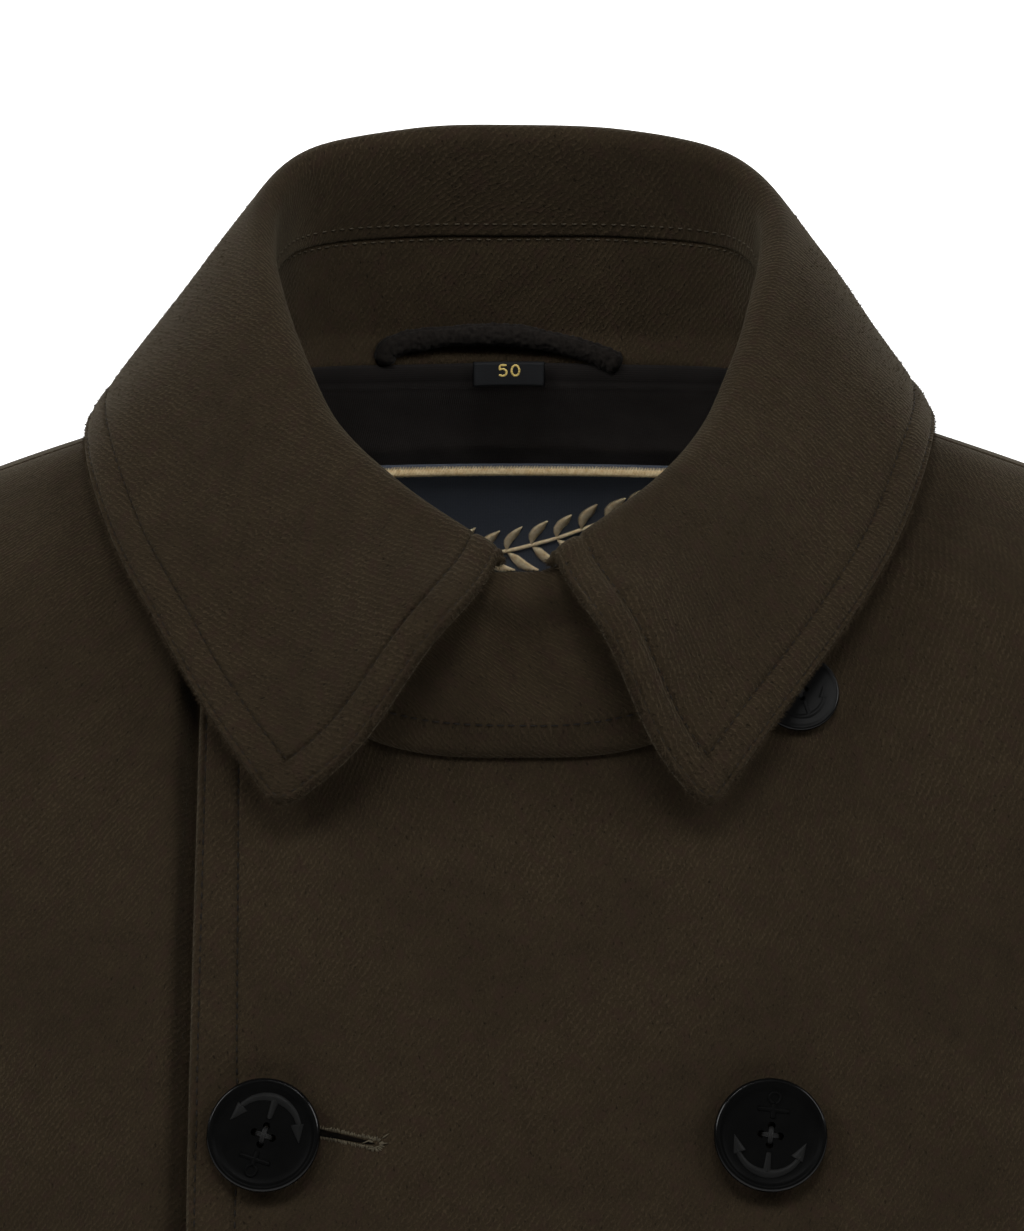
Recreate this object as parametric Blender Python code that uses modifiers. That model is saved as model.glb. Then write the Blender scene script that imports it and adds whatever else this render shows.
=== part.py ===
"""Double-breasted wool coat with a stand-and-fall collar, in its worn form.

Metres, +Z up. The coat faces -Y and +X is the wearer's left. The origin is
in the middle of the neck at the height of the shoulder seams.
"""
import bpy
import bmesh
import math
import bisect
from collections import namedtuple
from mathutils import Vector

for old in list(bpy.data.objects):
    bpy.data.objects.remove(old, do_unlink=True)

# ------------------------------------------------------------------ sizes
CLOTH = 0.0024            # body cloth
STAND_CLOTH = 0.0024      # collar stand
FALL_CLOTH = 0.0030       # collar fall, upper and under collar together
LINING_CLOTH = 0.0010
GAP = 0.0003              # clear space at seams
SEAM = 0.0002             # half of the clear space on the ridge and side seams
UNDERLAP = 0.0042         # how far the right front lies below the left one
CORNER_TUCK = 0.0030      # and how much deeper its hidden top corner lies

HEM_Z = -0.800
ARMPIT_Z = -0.290
SHOULDER_Z = -0.062       # end of the shoulder seam
FRONT_EDGE_TOP = 0.0885   # front edge past centre front, at the top and the hem
FRONT_EDGE_HEM = 0.0945
FRONT_CORNER_Z = -0.056   # top corner of a front, below the collar
NECK_HALF = 0.080         # neckline in plan
NECK_FRONT = 0.078
NECK_BACK = 0.058
NECK_FRONT_SQUARE = 3.0
NECK_BACK_SQUARE = 2.2
ARMHOLE_FRONT = 0.056     # armhole in front of and behind the shoulder seam
ARMHOLE_BACK = 0.066

SIDE_ROWS, ARM_ROWS = 8, 7         # rows of a panel along side seam and armhole
SHOULDER_COLS, NECK_COLS, FAR_COLS, BACK_NECK_COLS = 5, 8, 6, 12
SLEEVE_COLS, SLEEVE_ROWS = 16, 12
STAND_COLS, STAND_ROWS = 44, 3
FALL_COLS, LEG_ROWS, FOLD_ROWS, LEAF_ROWS = 36, 2, 4, 6

BUTTON_R, BUTTON_T = 0.0161, 0.0042
SMALL_R, SMALL_T = 0.0115, 0.0027
BUTTON_HOLE_R, BUTTON_HOLE_OFF = 0.0010, 0.0027   # share the same four-hole pattern
BUTTON_X = 0.0703
BUTTON_TOP_Z, BUTTON_PITCH, BUTTON_ROWS = -0.1966, 0.120, 3
SMALL_X, SMALL_Z = 0.0796, -0.0813

LINING_INSET, LINING_ROWS, LINING_DEPTH = 3, 6, 0.0013   # columns left out, rows, place inside the back
LABEL_X, LABEL_TOP_Z, LABEL_W, LABEL_H, LABEL_T = 0.003, -0.0335, 0.116, 0.064, 0.0008
BORDER_R = 0.0013
TAG_X, TAG_TOP_Z, TAG_W, TAG_H, TAG_T = -0.0024, 0.0008, 0.0219, 0.0074, 0.0006
LOOP_R = 0.0030

# ----------------------------------------------------------------- tables
# Horizontal sections of the body's inner face.
Section = namedtuple("Section", "level half_width front back square")
BODY = (
    Section(-0.8000, 0.246, 0.160, 0.138, 2.40),
    Section(-0.6500, 0.236, 0.157, 0.130, 2.40),
    Section(-0.4800, 0.224, 0.152, 0.118, 2.40),
    Section(-0.3000, 0.226, 0.149, 0.127, 2.40),
    Section(-0.2080, 0.232, 0.128, 0.127, 2.25),
    Section(-0.1500, 0.238, 0.106, 0.120, 2.10),
    Section(-0.0955, 0.242, 0.078, 0.109, 2.00),
    Section(-0.0620, 0.235, 0.058, 0.097, 2.00),
    Section(-0.0300, 0.153, 0.033, 0.077, 2.00),
    Section(-0.0050, 0.080, 0.010, 0.056, 2.00),
)
# Rings of a sleeve: the outer and inner point of each ring, its middle and depth.
Ring = namedtuple("Ring", "share out_x out_z in_x in_z mid_y depth")
SLEEVE = (
    Ring(0.00, 0.236, -0.062, 0.232, -0.288, 0.005, 0.061),
    Ring(0.07, 0.254, -0.075, 0.235, -0.296, 0.004, 0.070),
    Ring(0.16, 0.272, -0.108, 0.237, -0.308, 0.003, 0.079),
    Ring(0.28, 0.290, -0.180, 0.239, -0.330, 0.003, 0.082),
    Ring(0.42, 0.304, -0.290, 0.241, -0.378, 0.004, 0.079),
    Ring(0.60, 0.317, -0.430, 0.246, -0.465, 0.004, 0.073),
    Ring(0.80, 0.332, -0.580, 0.259, -0.585, -0.012, 0.064),
    Ring(1.00, 0.345, -0.712, 0.272, -0.700, -0.036, 0.056),
)
# Top edge of the collar stand, from centre back (station 0) to the front end (1).
Top = namedtuple("Top", "station x y z")
STAND_TOP = (
    Top(0.00, 0.0000, 0.0550, 0.0352),
    Top(0.14, 0.0300, 0.0535, 0.0352),
    Top(0.28, 0.0580, 0.0430, 0.0342),
    Top(0.40, 0.0685, 0.0260, 0.0315),
    Top(0.50, 0.0715, 0.0080, 0.0240),
    Top(0.60, 0.0710, -0.0100, 0.010),
    Top(0.70, 0.0660, -0.0280, -0.006),
    Top(0.80, 0.0550, -0.0455, -0.023),
    Top(0.90, 0.0345, -0.0620, -0.038),
    Top(1.00, 0.0060, -0.0712, -0.0475),
)
STAND_MEET = 1.02          # station of centre front
UNDER_END, OVER_END = 1.00, 1.17
NECK_LAP = 0.0021         # the stand's lower edge lies this far above the body cloth
SEAM_RISE = 0.0024        # and this much more over the shoulder seams
STAND_LAP = 0.0016        # half of the step between the overlapped ends
# Fold and outer edge of the collar fall on the wearer's right and left side.
Leaf = namedtuple("Leaf", "station fold_x fold_y fold_z edge_x edge_y edge_z")
LEAF_RIGHT = (
    Leaf(0.00, 0.0000, 0.0510, 0.0686, 0.0000, 0.0840, -0.0220),
    Leaf(0.14, 0.0300, 0.0500, 0.0680, 0.0450, 0.0810, -0.0210),
    Leaf(0.28, 0.0590, 0.0440, 0.0630, 0.0870, 0.0680, -0.0180),
    Leaf(0.40, 0.0720, 0.0300, 0.0525, 0.1140, 0.0420, -0.0120),
    Leaf(0.50, 0.0742, 0.0120, 0.0415, 0.1243, 0.0120, -0.0120),
    Leaf(0.60, 0.0710, -0.0060, 0.0290, 0.1247, -0.0190, -0.0205),
    Leaf(0.70, 0.0640, -0.0240, 0.0130, 0.1163, -0.0430, -0.0400),
    Leaf(0.80, 0.0530, -0.0420, -0.0050, 0.1046, -0.0605, -0.0580),
    Leaf(0.90, 0.0330, -0.0600, -0.0205, 0.0873, -0.0780, -0.0840),
    Leaf(1.00, 0.0040, -0.0735, -0.0375, 0.0670, -0.0945, -0.1045),
)
LEAF_LEFT = (
    Leaf(0.00, 0.0000, 0.0510, 0.0686, 0.0000, 0.0840, -0.0220),
    Leaf(0.14, 0.0300, 0.0500, 0.0677, 0.0450, 0.0810, -0.0210),
    Leaf(0.28, 0.0590, 0.0440, 0.0623, 0.0870, 0.0680, -0.0180),
    Leaf(0.40, 0.0728, 0.0300, 0.0525, 0.1122, 0.0420, -0.0115),
    Leaf(0.50, 0.0748, 0.0120, 0.0415, 0.1212, 0.0120, -0.0110),
    Leaf(0.60, 0.0715, -0.0060, 0.0290, 0.1197, -0.0185, -0.0185),
    Leaf(0.70, 0.0655, -0.0240, 0.0130, 0.1106, -0.0415, -0.0380),
    Leaf(0.80, 0.0545, -0.0420, -0.0050, 0.0978, -0.0600, -0.0565),
    Leaf(0.90, 0.0360, -0.0600, -0.0205, 0.0771, -0.0795, -0.0810),
    Leaf(1.00, 0.0082, -0.0745, -0.0375, 0.0548, -0.0950, -0.1050),
)
FOLD_BACK_R, FOLD_FRONT_R, FOLD_END = 0.0045, 0.0038, math.radians(42)   # radius of the fold, and where the leaf leaves it
BELLY_BACK, BELLY_SIDE, BELLY_FRONT = 0.0030, 0.0045, 0.0060   # how far the leaf bows out
BOW_LEFT, BOW_RIGHT, HOLLOW = 0.0058, 0.0088, 0.0022      # how far its front edges bow towards the middle, and hollow above that
LEAF_LIFT, FRONT_LIFT, EDGE_LIFT = 0.0030, 0.0090, 0.0040 # how far it stands off the chest, more at its front and outer edges
LIFT_WAY = Vector((0.0, -0.985, 0.174))
LEAF_RUN = 0.28                                           # half of its outer edge
# Hanger loop, seen from the front: across, up from the neck seam.
Hang = namedtuple("Hang", "x up")
LOOP = (Hang(-0.0394, 0.0044), Hang(-0.0388, 0.0076), Hang(-0.0368, 0.0098), Hang(-0.0300, 0.0116),
        Hang(-0.0150, 0.0128), Hang(0.0000, 0.0122), Hang(0.0140, 0.0098),
        Hang(0.0240, 0.0070), Hang(0.0282, 0.0052), Hang(0.0308, 0.0038))

# Colours: base colour, roughness.
WOOL = ((0.026, 0.019, 0.012, 1.0), 0.85)
BLACK = ((0.007, 0.006, 0.006, 1.0), 0.80)
NAVY = ((0.008, 0.009, 0.013, 1.0), 0.70)
GOLD = ((0.300, 0.190, 0.080, 1.0), 0.55)
HORN = ((0.004, 0.004, 0.004, 1.0), 0.25)

# ------------------------------------------------------------- collections
coat = bpy.data.collections.new("double_breasted_coat")
cutters = bpy.data.collections.new("cutters")
bpy.context.scene.collection.children.link(coat)
bpy.context.scene.collection.children.link(cutters)


def finish_of(name, look):
    mat = bpy.data.materials.new(name)
    mat.use_nodes = True
    shader = mat.node_tree.nodes["Principled BSDF"]
    shader.inputs["Base Color"].default_value = look[0]
    shader.inputs["Roughness"].default_value = look[1]
    shader.inputs["Metallic"].default_value = 0.0
    mat.diffuse_color = look[0]
    return mat


# -------------------------------------------------------------- smooth rows
class Smooth:
    """A smooth curve through one column of a table that never overshoots its rows."""

    def __init__(self, rows, name):
        self.at = [r[0] for r in rows]
        self.value = [getattr(r, name) for r in rows]
        last = len(rows) - 1
        slope = [(self.value[i + 1] - self.value[i]) / (self.at[i + 1] - self.at[i]) for i in range(last)]
        self.lean = [slope[0]]
        for a, b in zip(slope, slope[1:]):
            self.lean.append(0.0 if a * b <= 0.0 else 2.0 * a * b / (a + b))
        self.lean.append(slope[-1])

    def __call__(self, at):
        last = len(self.at) - 1
        if at <= self.at[0]:
            return self.value[0] + self.lean[0] * (at - self.at[0])
        if at >= self.at[last]:
            return self.value[last] + self.lean[last] * (at - self.at[last])
        i = bisect.bisect_right(self.at, at) - 1
        h = self.at[i + 1] - self.at[i]
        t = (at - self.at[i]) / h
        return (self.value[i] * (1 + 2 * t) * (1 - t) ** 2 + self.lean[i] * h * t * (1 - t) ** 2
                + self.value[i + 1] * t * t * (3 - 2 * t) + self.lean[i + 1] * h * t * t * (t - 1))


def ease(t):
    t = max(0.0, min(1.0, t))
    return t * t * (3 - 2 * t)


def swept(rows, names, at):
    """Point on a smooth line through the rows; row 0 lies on the plane x = 0."""
    last = len(rows) - 1
    i = min(last - 1, max(0, max(j for j in range(len(rows)) if rows[j][0] <= max(at, 0.0))))
    pts = [Vector([getattr(r, n) for n in names]) for r in rows]
    ats = [r[0] for r in rows]

    def knot(j):
        if j < 0:
            p = pts[-j].copy()
            p.x = -p.x
            return -ats[-j], p
        if j > last:
            return 2 * ats[last] - ats[last - 1], 2 * pts[last] - pts[last - 1]
        return ats[j], pts[j]
    (s0, p0), (s1, p1), (s2, p2), (s3, p3) = (knot(i - 1), knot(i), knot(i + 1), knot(i + 2))
    m1 = (p2 - p0) / (s2 - s0) * (s2 - s1)
    m2 = (p3 - p1) / (s3 - s1) * (s2 - s1)
    t = (at - s1) / (s2 - s1)
    return (p1 * (1 + 2 * t) * (1 - t) ** 2 + m1 * t * (1 - t) ** 2
            + p2 * t * t * (3 - 2 * t) + m2 * t * t * (t - 1))


# --------------------------------------------------------------- body form
WIDE, FRONT, BACK, SQUARE = (Smooth(BODY, n) for n in Section._fields[1:])
CREST_Z = -0.0042          # top of the form, inside the neck opening


def section(level):
    level = min(level, CREST_Z)
    return WIDE(level), FRONT(level), BACK(level), SQUARE(level)


def excess(p):
    a, f, b, n = section(p.z)
    d = b if p.y > 0.0 else f
    return abs(p.x / a) ** n + abs(p.y / d) ** n - 1.0 + 60.0 * max(0.0, p.z - CREST_Z)


def slope_at(p):
    e = 1e-5
    steps = (Vector((e, 0, 0)), Vector((0, e, 0)), Vector((0, 0, e)))
    return Vector([(excess(p + s) - excess(p - s)) / (2 * e) for s in steps])


def normal_at(p):
    return slope_at(p).normalized()


def settle(p, turns=5):
    """The nearest point on the form, in short steps."""
    p = p.copy()
    for _ in range(turns):
        g = slope_at(p)
        step = excess(p) / g.length
        p -= g.normalized() * max(-0.012, min(0.012, step))
        if abs(step) < 1e-7:
            break
    return p


def front_point(x, z):
    a, f, b, n = section(z)
    return Vector((x, -f * max(0.0, 1 - abs(x / a) ** n) ** (1 / n), z))


def back_point(x, z):
    a, f, b, n = section(z)
    return Vector((x, b * max(0.0, 1 - abs(x / a) ** n) ** (1 / n), z))


def top_point(x, y):
    """Point of the form's upper side over a place in plan."""
    low, high = -0.110, -0.0035
    for _ in range(50):
        mid = (low + high) / 2
        if excess(Vector((x, y, mid))) < 0.0:
            low = mid
        else:
            high = mid
    return Vector((x, y, (low + high) / 2))


def neck_plan(station):
    """Neckline in plan: station 0 is centre back, STAND_MEET is centre front."""
    turn = math.pi * station / STAND_MEET
    c, s = math.cos(turn), math.sin(turn)
    reach, square = (NECK_BACK, NECK_BACK_SQUARE) if c > 0 else (NECK_FRONT, NECK_FRONT_SQUARE)
    return (NECK_HALF * math.copysign(abs(s) ** (2 / square), s),
            reach * math.copysign(abs(c) ** (2 / square), c))


def neck_point(station):
    return top_point(*neck_plan(station))


def armhole_point(turn):
    """turn 0 is the shoulder point, +90 degrees the front, 180 the armpit."""
    mid, half = (SHOULDER_Z + ARMPIT_Z) / 2, (SHOULDER_Z - ARMPIT_Z) / 2
    z = mid + half * math.cos(turn)
    s = math.sin(turn)
    y = -(ARMHOLE_FRONT if s > 0 else ARMHOLE_BACK) * math.copysign(abs(s) ** 0.85, s)
    a, f, b, n = section(z)
    d = b if y > 0 else f
    return Vector((a * max(0.0, 1 - abs(y / d) ** n) ** (1 / n), y, z))


# ------------------------------------------------------------------ meshes
def sheet(name, cols, rows, place, wall, side, look, wrap=False):
    """A grid laid out by place(u, v), then given its wall on one side.

    side is +1 where the wall grows out of the laid face and -1 where it grows in.
    """
    bm = bmesh.new()
    bmesh.ops.create_grid(bm, x_segments=cols, y_segments=rows, size=0.5)
    for v in bm.verts:
        v.co = place(round((v.co.x + 0.5) * cols), round((v.co.y + 0.5) * rows))
    if wrap:
        bmesh.ops.remove_doubles(bm, verts=bm.verts, dist=1e-6)
    mesh = bpy.data.meshes.new(name)
    bm.to_mesh(mesh)
    bm.free()
    mesh.shade_smooth()
    obj = bpy.data.objects.new(name, mesh)
    coat.objects.link(obj)
    wallm = obj.modifiers.new("wall", "SOLIDIFY")
    wallm.thickness = wall
    wallm.offset = side
    wallm.use_rim = True
    mesh.materials.append(finish_of(name, look))
    return obj


def coons(bottom, top, left, right, laid=None, rounds=40):
    """Grid between four rows of points, evened out while it lies on the form."""
    m, n = len(bottom) - 1, len(left) - 1
    grid = {}
    for i in range(m + 1):
        for j in range(n + 1):
            u, v = i / m, j / n
            grid[i, j] = (bottom[i] * (1 - v) + top[i] * v + left[j] * (1 - u) + right[j] * u
                          - (bottom[0] * (1 - u) * (1 - v) + bottom[m] * u * (1 - v)
                             + top[0] * (1 - u) * v + top[m] * u * v))
    inner = [(i, j) for i in range(1, m) for j in range(1, n)]
    for k in inner:
        grid[k] = settle(grid[k], 20)
    for _ in range(rounds):
        for i, j in inner:
            grid[i, j] = settle((grid[i - 1, j] + grid[i + 1, j] + grid[i, j - 1] + grid[i, j + 1]) / 4, 3)
    for k in inner:
        grid[k] = settle(grid[k], 8)
    return m, n, lambda i, j: laid(grid[i, j]) if laid else grid[i, j].copy()


def spread(first, last, count):
    return [first + (last - first) * i / count for i in range(count + 1)]


def evened(points, count):
    """The same line with its points evenly spaced."""
    far = [0.0]
    for a, b in zip(points, points[1:]):
        far.append(far[-1] + (b - a).length)
    out = []
    for goal in spread(0.0, far[-1], count):
        k = min(len(points) - 2, max(0, bisect.bisect_right(far, goal) - 1))
        out.append(points[k].lerp(points[k + 1], (goal - far[k]) / (far[k + 1] - far[k])))
    return out


def neck_line(first, last, count):
    return [settle(p) for p in evened([neck_point(s) for s in spread(first, last, 80)], count)]


def flipped(points):
    return [Vector((-p.x, p.y, p.z)) for p in points]


def seam_shift(p, way):
    return Vector((p.x, p.y + way * SEAM, p.z))


# ------------------------------------------------------------ body panels
def side_line(way):
    """Side seam and armhole, from the hem to the shoulder point (way -1: front)."""
    pts = []
    for z in spread(HEM_Z, ARMPIT_Z, SIDE_ROWS):
        pts.append(seam_shift(Vector((section(z)[0], 0.0, z)), way))
    for turn in spread(math.pi, 0.0, ARM_ROWS)[1:]:
        p = armhole_point(turn if way < 0 else -turn)
        pts.append(seam_shift(p, way) if turn < 0.01 else p)
    return pts


def shoulder_line(way):
    pts = [top_point(x, 0.0) for x in spread(NECK_HALF, section(SHOULDER_Z)[0], SHOULDER_COLS)]
    return [seam_shift(p, way) for p in pts]


def front_edge_x(z):
    return FRONT_EDGE_TOP + (FRONT_EDGE_HEM - FRONT_EDGE_TOP) * (FRONT_CORNER_Z - z) / (FRONT_CORNER_Z - HEM_Z)


def front_lines():
    """The four sides of the left front, which runs past centre front to -X."""
    half = STAND_MEET / 2
    near = neck_line(STAND_MEET, half, NECK_COLS)
    near[-1] = shoulder_line(-1)[0]
    far = [Vector((-p.x, p.y, p.z)) for p in
           neck_line(STAND_MEET, 0.74, FAR_COLS - 1)[1:]]
    corner = front_point(-front_edge_x(FRONT_CORNER_Z), FRONT_CORNER_Z)
    top = [corner] + far[::-1] + near + shoulder_line(-1)[1:]
    right = side_line(-1)
    rows = len(right) - 1
    left = [front_point(-front_edge_x(z), z) for z in spread(HEM_Z, FRONT_CORNER_Z, rows)]
    cols = len(top) - 1
    bottom = []
    for i in range(cols + 1):
        x = -FRONT_EDGE_HEM + (right[0].x + FRONT_EDGE_HEM) * math.sin(i / cols * math.pi / 2) ** 0.9
        bottom.append(front_point(min(x, right[0].x), HEM_Z))
    bottom[0], bottom[-1] = left[0], right[0]
    return bottom, top, left, right


def underlapped(p):
    """The right front dips below the left one wherever that one covers it."""
    edge = front_edge_x(min(p.z, FRONT_CORNER_Z))
    below = max(ease((FRONT_CORNER_Z + 0.016 - p.z) / 0.014), ease(p.x / 0.020))
    dip = ease((p.x + edge + 0.030) / 0.026) * below
    tucked = CORNER_TUCK * ease((p.x - 0.045) / 0.030) * ease((p.z + 0.120) / 0.045)
    return p - normal_at(p) * (UNDERLAP * dip + tucked)


bottom, top, left, right = front_lines()
cols, rows, place = coons(bottom, top, left, right)
sheet("front_left", cols, rows, place, CLOTH, 1.0, WOOL)
cols, rows, place = coons(flipped(bottom), flipped(top), flipped(left), flipped(right), underlapped)
sheet("front_right", cols, rows, place, CLOTH, -1.0, WOOL)

back_right = side_line(1)
back_neck = neck_line(STAND_MEET / 2, -STAND_MEET / 2, BACK_NECK_COLS)
ridge = shoulder_line(1)
back_top = ridge[::-1] + back_neck[1:-1] + flipped(ridge)
cols = len(back_top) - 1
back_bottom = [back_point(back_right[0].x * math.cos(math.pi * i / cols), HEM_Z) for i in range(cols + 1)]
back_bottom[0], back_bottom[-1] = back_right[0], flipped(back_right)[0]
back_cols, back_rows, back_place = coons(back_bottom, back_top, back_right, flipped(back_right))
sheet("back", back_cols, back_rows, back_place, CLOTH, 1.0, WOOL)


# ----------------------------------------------------------------- sleeves
RING = {n: Smooth(SLEEVE, n) for n in Ring._fields[1:]}


def ring_point(share, turn):
    r = {n: curve(share) for n, curve in RING.items()}
    out, inn = Vector((r["out_x"], 0, r["out_z"])), Vector((r["in_x"], 0, r["in_z"]))
    p = (out + inn) / 2 + (out - inn) / 2 * math.cos(turn)
    p.y = r["mid_y"] - r["depth"] * math.sin(turn)
    return p


def sleeve_point(share, turn):
    edge = armhole_point(turn)
    under = max(0.0, -math.cos(turn)) ** 2
    edge += normal_at(edge) * (CLOTH + GAP + 0.0011 + under * (CLOTH + 0.0004))
    return ring_point(share, turn) + (edge - ring_point(0.0, turn)) * (1 - ease(share / 0.30))


def sleeve(name, side):
    def place(i, j):
        turn = 2 * math.pi * (i % SLEEVE_COLS) / SLEEVE_COLS
        if turn > math.pi:
            turn -= 2 * math.pi
        p = sleeve_point((j / SLEEVE_ROWS) ** 1.25, turn)
        return Vector((side * p.x, p.y, p.z))
    return sheet(name, SLEEVE_COLS, SLEEVE_ROWS, place, CLOTH, side, WOOL, wrap=True)


sleeve("sleeve_left", 1.0)
sleeve("sleeve_right", -1.0)


# ------------------------------------------------------------ collar stand
def on_side(station):
    """Station along the stand, past centre front too, and the side it is on."""
    s, side = abs(station), 1.0 if station >= 0 else -1.0
    return (2 * STAND_MEET - s, -side) if s > STAND_MEET else (s, side)


def layer(station):
    """+1 on the end that lies on top, -1 on the end below it."""
    return ease((abs(station) - 0.72) / 0.20) * (1.0 if station > 0 else -1.0)


def stand_edges(station):
    s, side = on_side(station)
    low = neck_point(min(s, STAND_MEET))
    n = normal_at(low)
    up = layer(station)
    low = low + n * (CLOTH + NECK_LAP + min(0.0, up) * UNDERLAP)
    low.z += 0.0022 * max(0.0, -up) + SEAM_RISE * ease(1 - abs(s - STAND_MEET / 2) / 0.14)
    high = swept(STAND_TOP, ("x", "y", "z"), min(s, 1.0))
    if s > 1.0:
        high.x *= (STAND_MEET - s) / (STAND_MEET - 1.0)
    out = Vector((high.x, high.y, 0)).normalized()
    high = high + out * (STAND_LAP * up)
    for p in (low, high):
        p.x *= side
    out.x *= side
    return low, high, out


def stand_place(i, j):
    station = -UNDER_END + (UNDER_END + OVER_END) * i / STAND_COLS
    low, high, out = stand_edges(station)
    t = j / STAND_ROWS
    belly = 0.0022 * math.sin(math.pi * t) * ease((abs(station) - 0.5) / 0.3)
    return low.lerp(high, t) + out * belly


sheet("collar_stand", STAND_COLS, STAND_ROWS, stand_place, STAND_CLOTH, -1.0, WOOL)


# ------------------------------------------------------------- collar fall
def bezier(a, b, c, d, t):
    return a * (1 - t) ** 3 + b * 3 * t * (1 - t) ** 2 + c * 3 * t * t * (1 - t) + d * t ** 3


def leaf_lines(station):
    """Base, fold and edge of the fall at a station, and the way the fold rolls."""
    s, side = abs(station), 1.0 if station >= 0 else -1.0
    rows = LEAF_LEFT if side > 0 else LEAF_RIGHT
    fold = swept(rows, ("fold_x", "fold_y", "fold_z"), s)
    edge = swept(rows, ("edge_x", "edge_y", "edge_z"), s)
    ahead = swept(rows, ("fold_x", "fold_y", "fold_z"), min(1.0, s + 0.01))
    behind = swept(rows, ("fold_x", "fold_y", "fold_z"), max(0.0, s - 0.01))
    run = ahead - behind
    out = Vector((-run.y, run.x, 0)).normalized()
    if out.y * (fold.y + 0.005) + out.x * fold.x < 0:
        out = -out
    for p in (fold, edge, out):
        p.x *= side
    fold = fold + out * (2 * STAND_LAP * max(0.0, layer(station)))
    base, high, way = stand_edges(station)
    base = high - way * 0.0008
    base.z += GAP + 0.0008 + 0.0020 * max(0.0, layer(station))
    return base, fold, edge, out


def fall_place(i, j):
    """Up the inside of the neck, round the fold, and down the leaf."""
    station = -1.0 + 2.0 * i / FALL_COLS
    base, fold, edge, out = leaf_lines(station)
    up = Vector((0, 0, 1))
    round_r = FOLD_BACK_R + (FOLD_FRONT_R - FOLD_BACK_R) * ease((abs(station) - 0.8) / 0.2)
    heart = fold - up * round_r
    if j <= LEG_ROWS:
        return base.lerp(heart - out * round_r, j / LEG_ROWS)
    if j <= LEG_ROWS + FOLD_ROWS:
        turn = math.pi + (FOLD_END - math.pi) * (j - LEG_ROWS) / FOLD_ROWS
        return heart + out * (round_r * math.cos(turn)) + up * (round_r * math.sin(turn))
    t = (j - LEG_ROWS - FOLD_ROWS) / LEAF_ROWS
    start = heart + out * (round_r * math.cos(FOLD_END)) + up * (round_r * math.sin(FOLD_END))
    away = out * math.sin(FOLD_END) - up * math.cos(FOLD_END)
    span = edge - start
    belly = BELLY_BACK + (BELLY_FRONT - BELLY_BACK) * ease(abs(station))
    belly += (BELLY_SIDE - BELLY_FRONT) * math.exp(-((abs(station) - 0.34) / 0.14) ** 2)
    face = (out + up * 0.5) * belly
    bow = (BOW_LEFT if station > 0 else BOW_RIGHT) * math.sin(math.pi * t ** 3.4) - HOLLOW * math.exp(-((t - 0.34) / 0.16) ** 2)
    p = bezier(start, start + away * (span.length * 0.25), edge - span * 0.42 + face, edge, t)
    p.x -= math.copysign(1.0, station) * bow * ease((abs(station) - 0.86) / 0.14)
    to_front, to_edge = (1 - abs(station)) * LEAF_RUN, (1 - t) * span.length
    lift = LEAF_LIFT + FRONT_LIFT * ease((0.045 - to_front) / 0.045)
    lift += EDGE_LIFT * ease((0.030 - to_edge) / 0.030) * ease(to_front / 0.030)
    return p + LIFT_WAY * (lift * ease(t * span.length / 0.030) * ease((0.02 - edge.y) / 0.06))


sheet("collar_fall", FALL_COLS, LEG_ROWS + FOLD_ROWS + LEAF_ROWS, fall_place, FALL_CLOTH, -1.0, WOOL)


# ---------------------------------------------------- inside of the back neck
def inside_back(x, z, depth):
    p = back_point(x, z)
    return p - normal_at(p) * depth


def lining_place(i, j):
    """The lining lies on the upper rows of the back panel, just inside them."""
    p = back_place(LINING_INSET + i, back_rows - LINING_ROWS + j)
    p = p - normal_at(p) * LINING_DEPTH
    if j == LINING_ROWS:
        p.z -= 0.0010
    return p


sheet("back_lining", back_cols - 2 * LINING_INSET, LINING_ROWS, lining_place, LINING_CLOTH, -1.0, BLACK)

LAID = LINING_DEPTH + LINING_CLOTH + 0.0028


def label_place(i, j):
    return inside_back(LABEL_X + LABEL_W * (i / 8 - 0.5), LABEL_TOP_Z - LABEL_H * (1 - j / 5), LAID)


sheet("neck_label", 8, 5, label_place, LABEL_T, 1.0, NAVY)


def tag_place(i, j):
    """The tag hangs from the neck seam in front of the lining."""
    z = TAG_TOP_Z - TAG_H * (1 - j / 2)
    seam_z = neck_point(0.0).z
    p = inside_back(TAG_X + TAG_W * (i / 2 - 0.5), min(z, seam_z), LAID)
    return p + Vector((0, 0, max(0.0, z - seam_z)))


sheet("size_tag", 2, 2, tag_place, TAG_T, 1.0, BLACK)


def tube(name, points, radius, look, closed=False):
    path = bpy.data.curves.new(name, "CURVE")
    path.dimensions = "3D"
    path.bevel_depth = radius
    path.bevel_resolution = 2
    path.use_fill_caps = True
    spline = path.splines.new("POLY")
    spline.points.add(len(points) - 1)
    for knot, p in zip(spline.points, points):
        knot.co = (p.x, p.y, p.z, 1.0)
    spline.use_cyclic_u = closed
    path.materials.append(finish_of(name, look))
    obj = bpy.data.objects.new(name, path)
    coat.objects.link(obj)
    return obj


def border_points(count_x, count_z):
    half_w, half_h = LABEL_W / 2 - 0.002, LABEL_H / 2 - 0.002
    mid_z = LABEL_TOP_Z - LABEL_H / 2
    flat = [(half_w * (2 * i / count_x - 1), half_h) for i in range(count_x)]
    flat += [(half_w, half_h * (1 - 2 * i / count_z)) for i in range(count_z)]
    flat += [(half_w * (1 - 2 * i / count_x), -half_h) for i in range(count_x)]
    flat += [(-half_w, half_h * (2 * i / count_z - 1)) for i in range(count_z)]
    return [inside_back(LABEL_X + x, mid_z + z, LAID + LABEL_T + GAP + BORDER_R + 0.0004) for x, z in flat]


tube("label_border", border_points(8, 4), BORDER_R, GOLD, closed=True)


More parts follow.
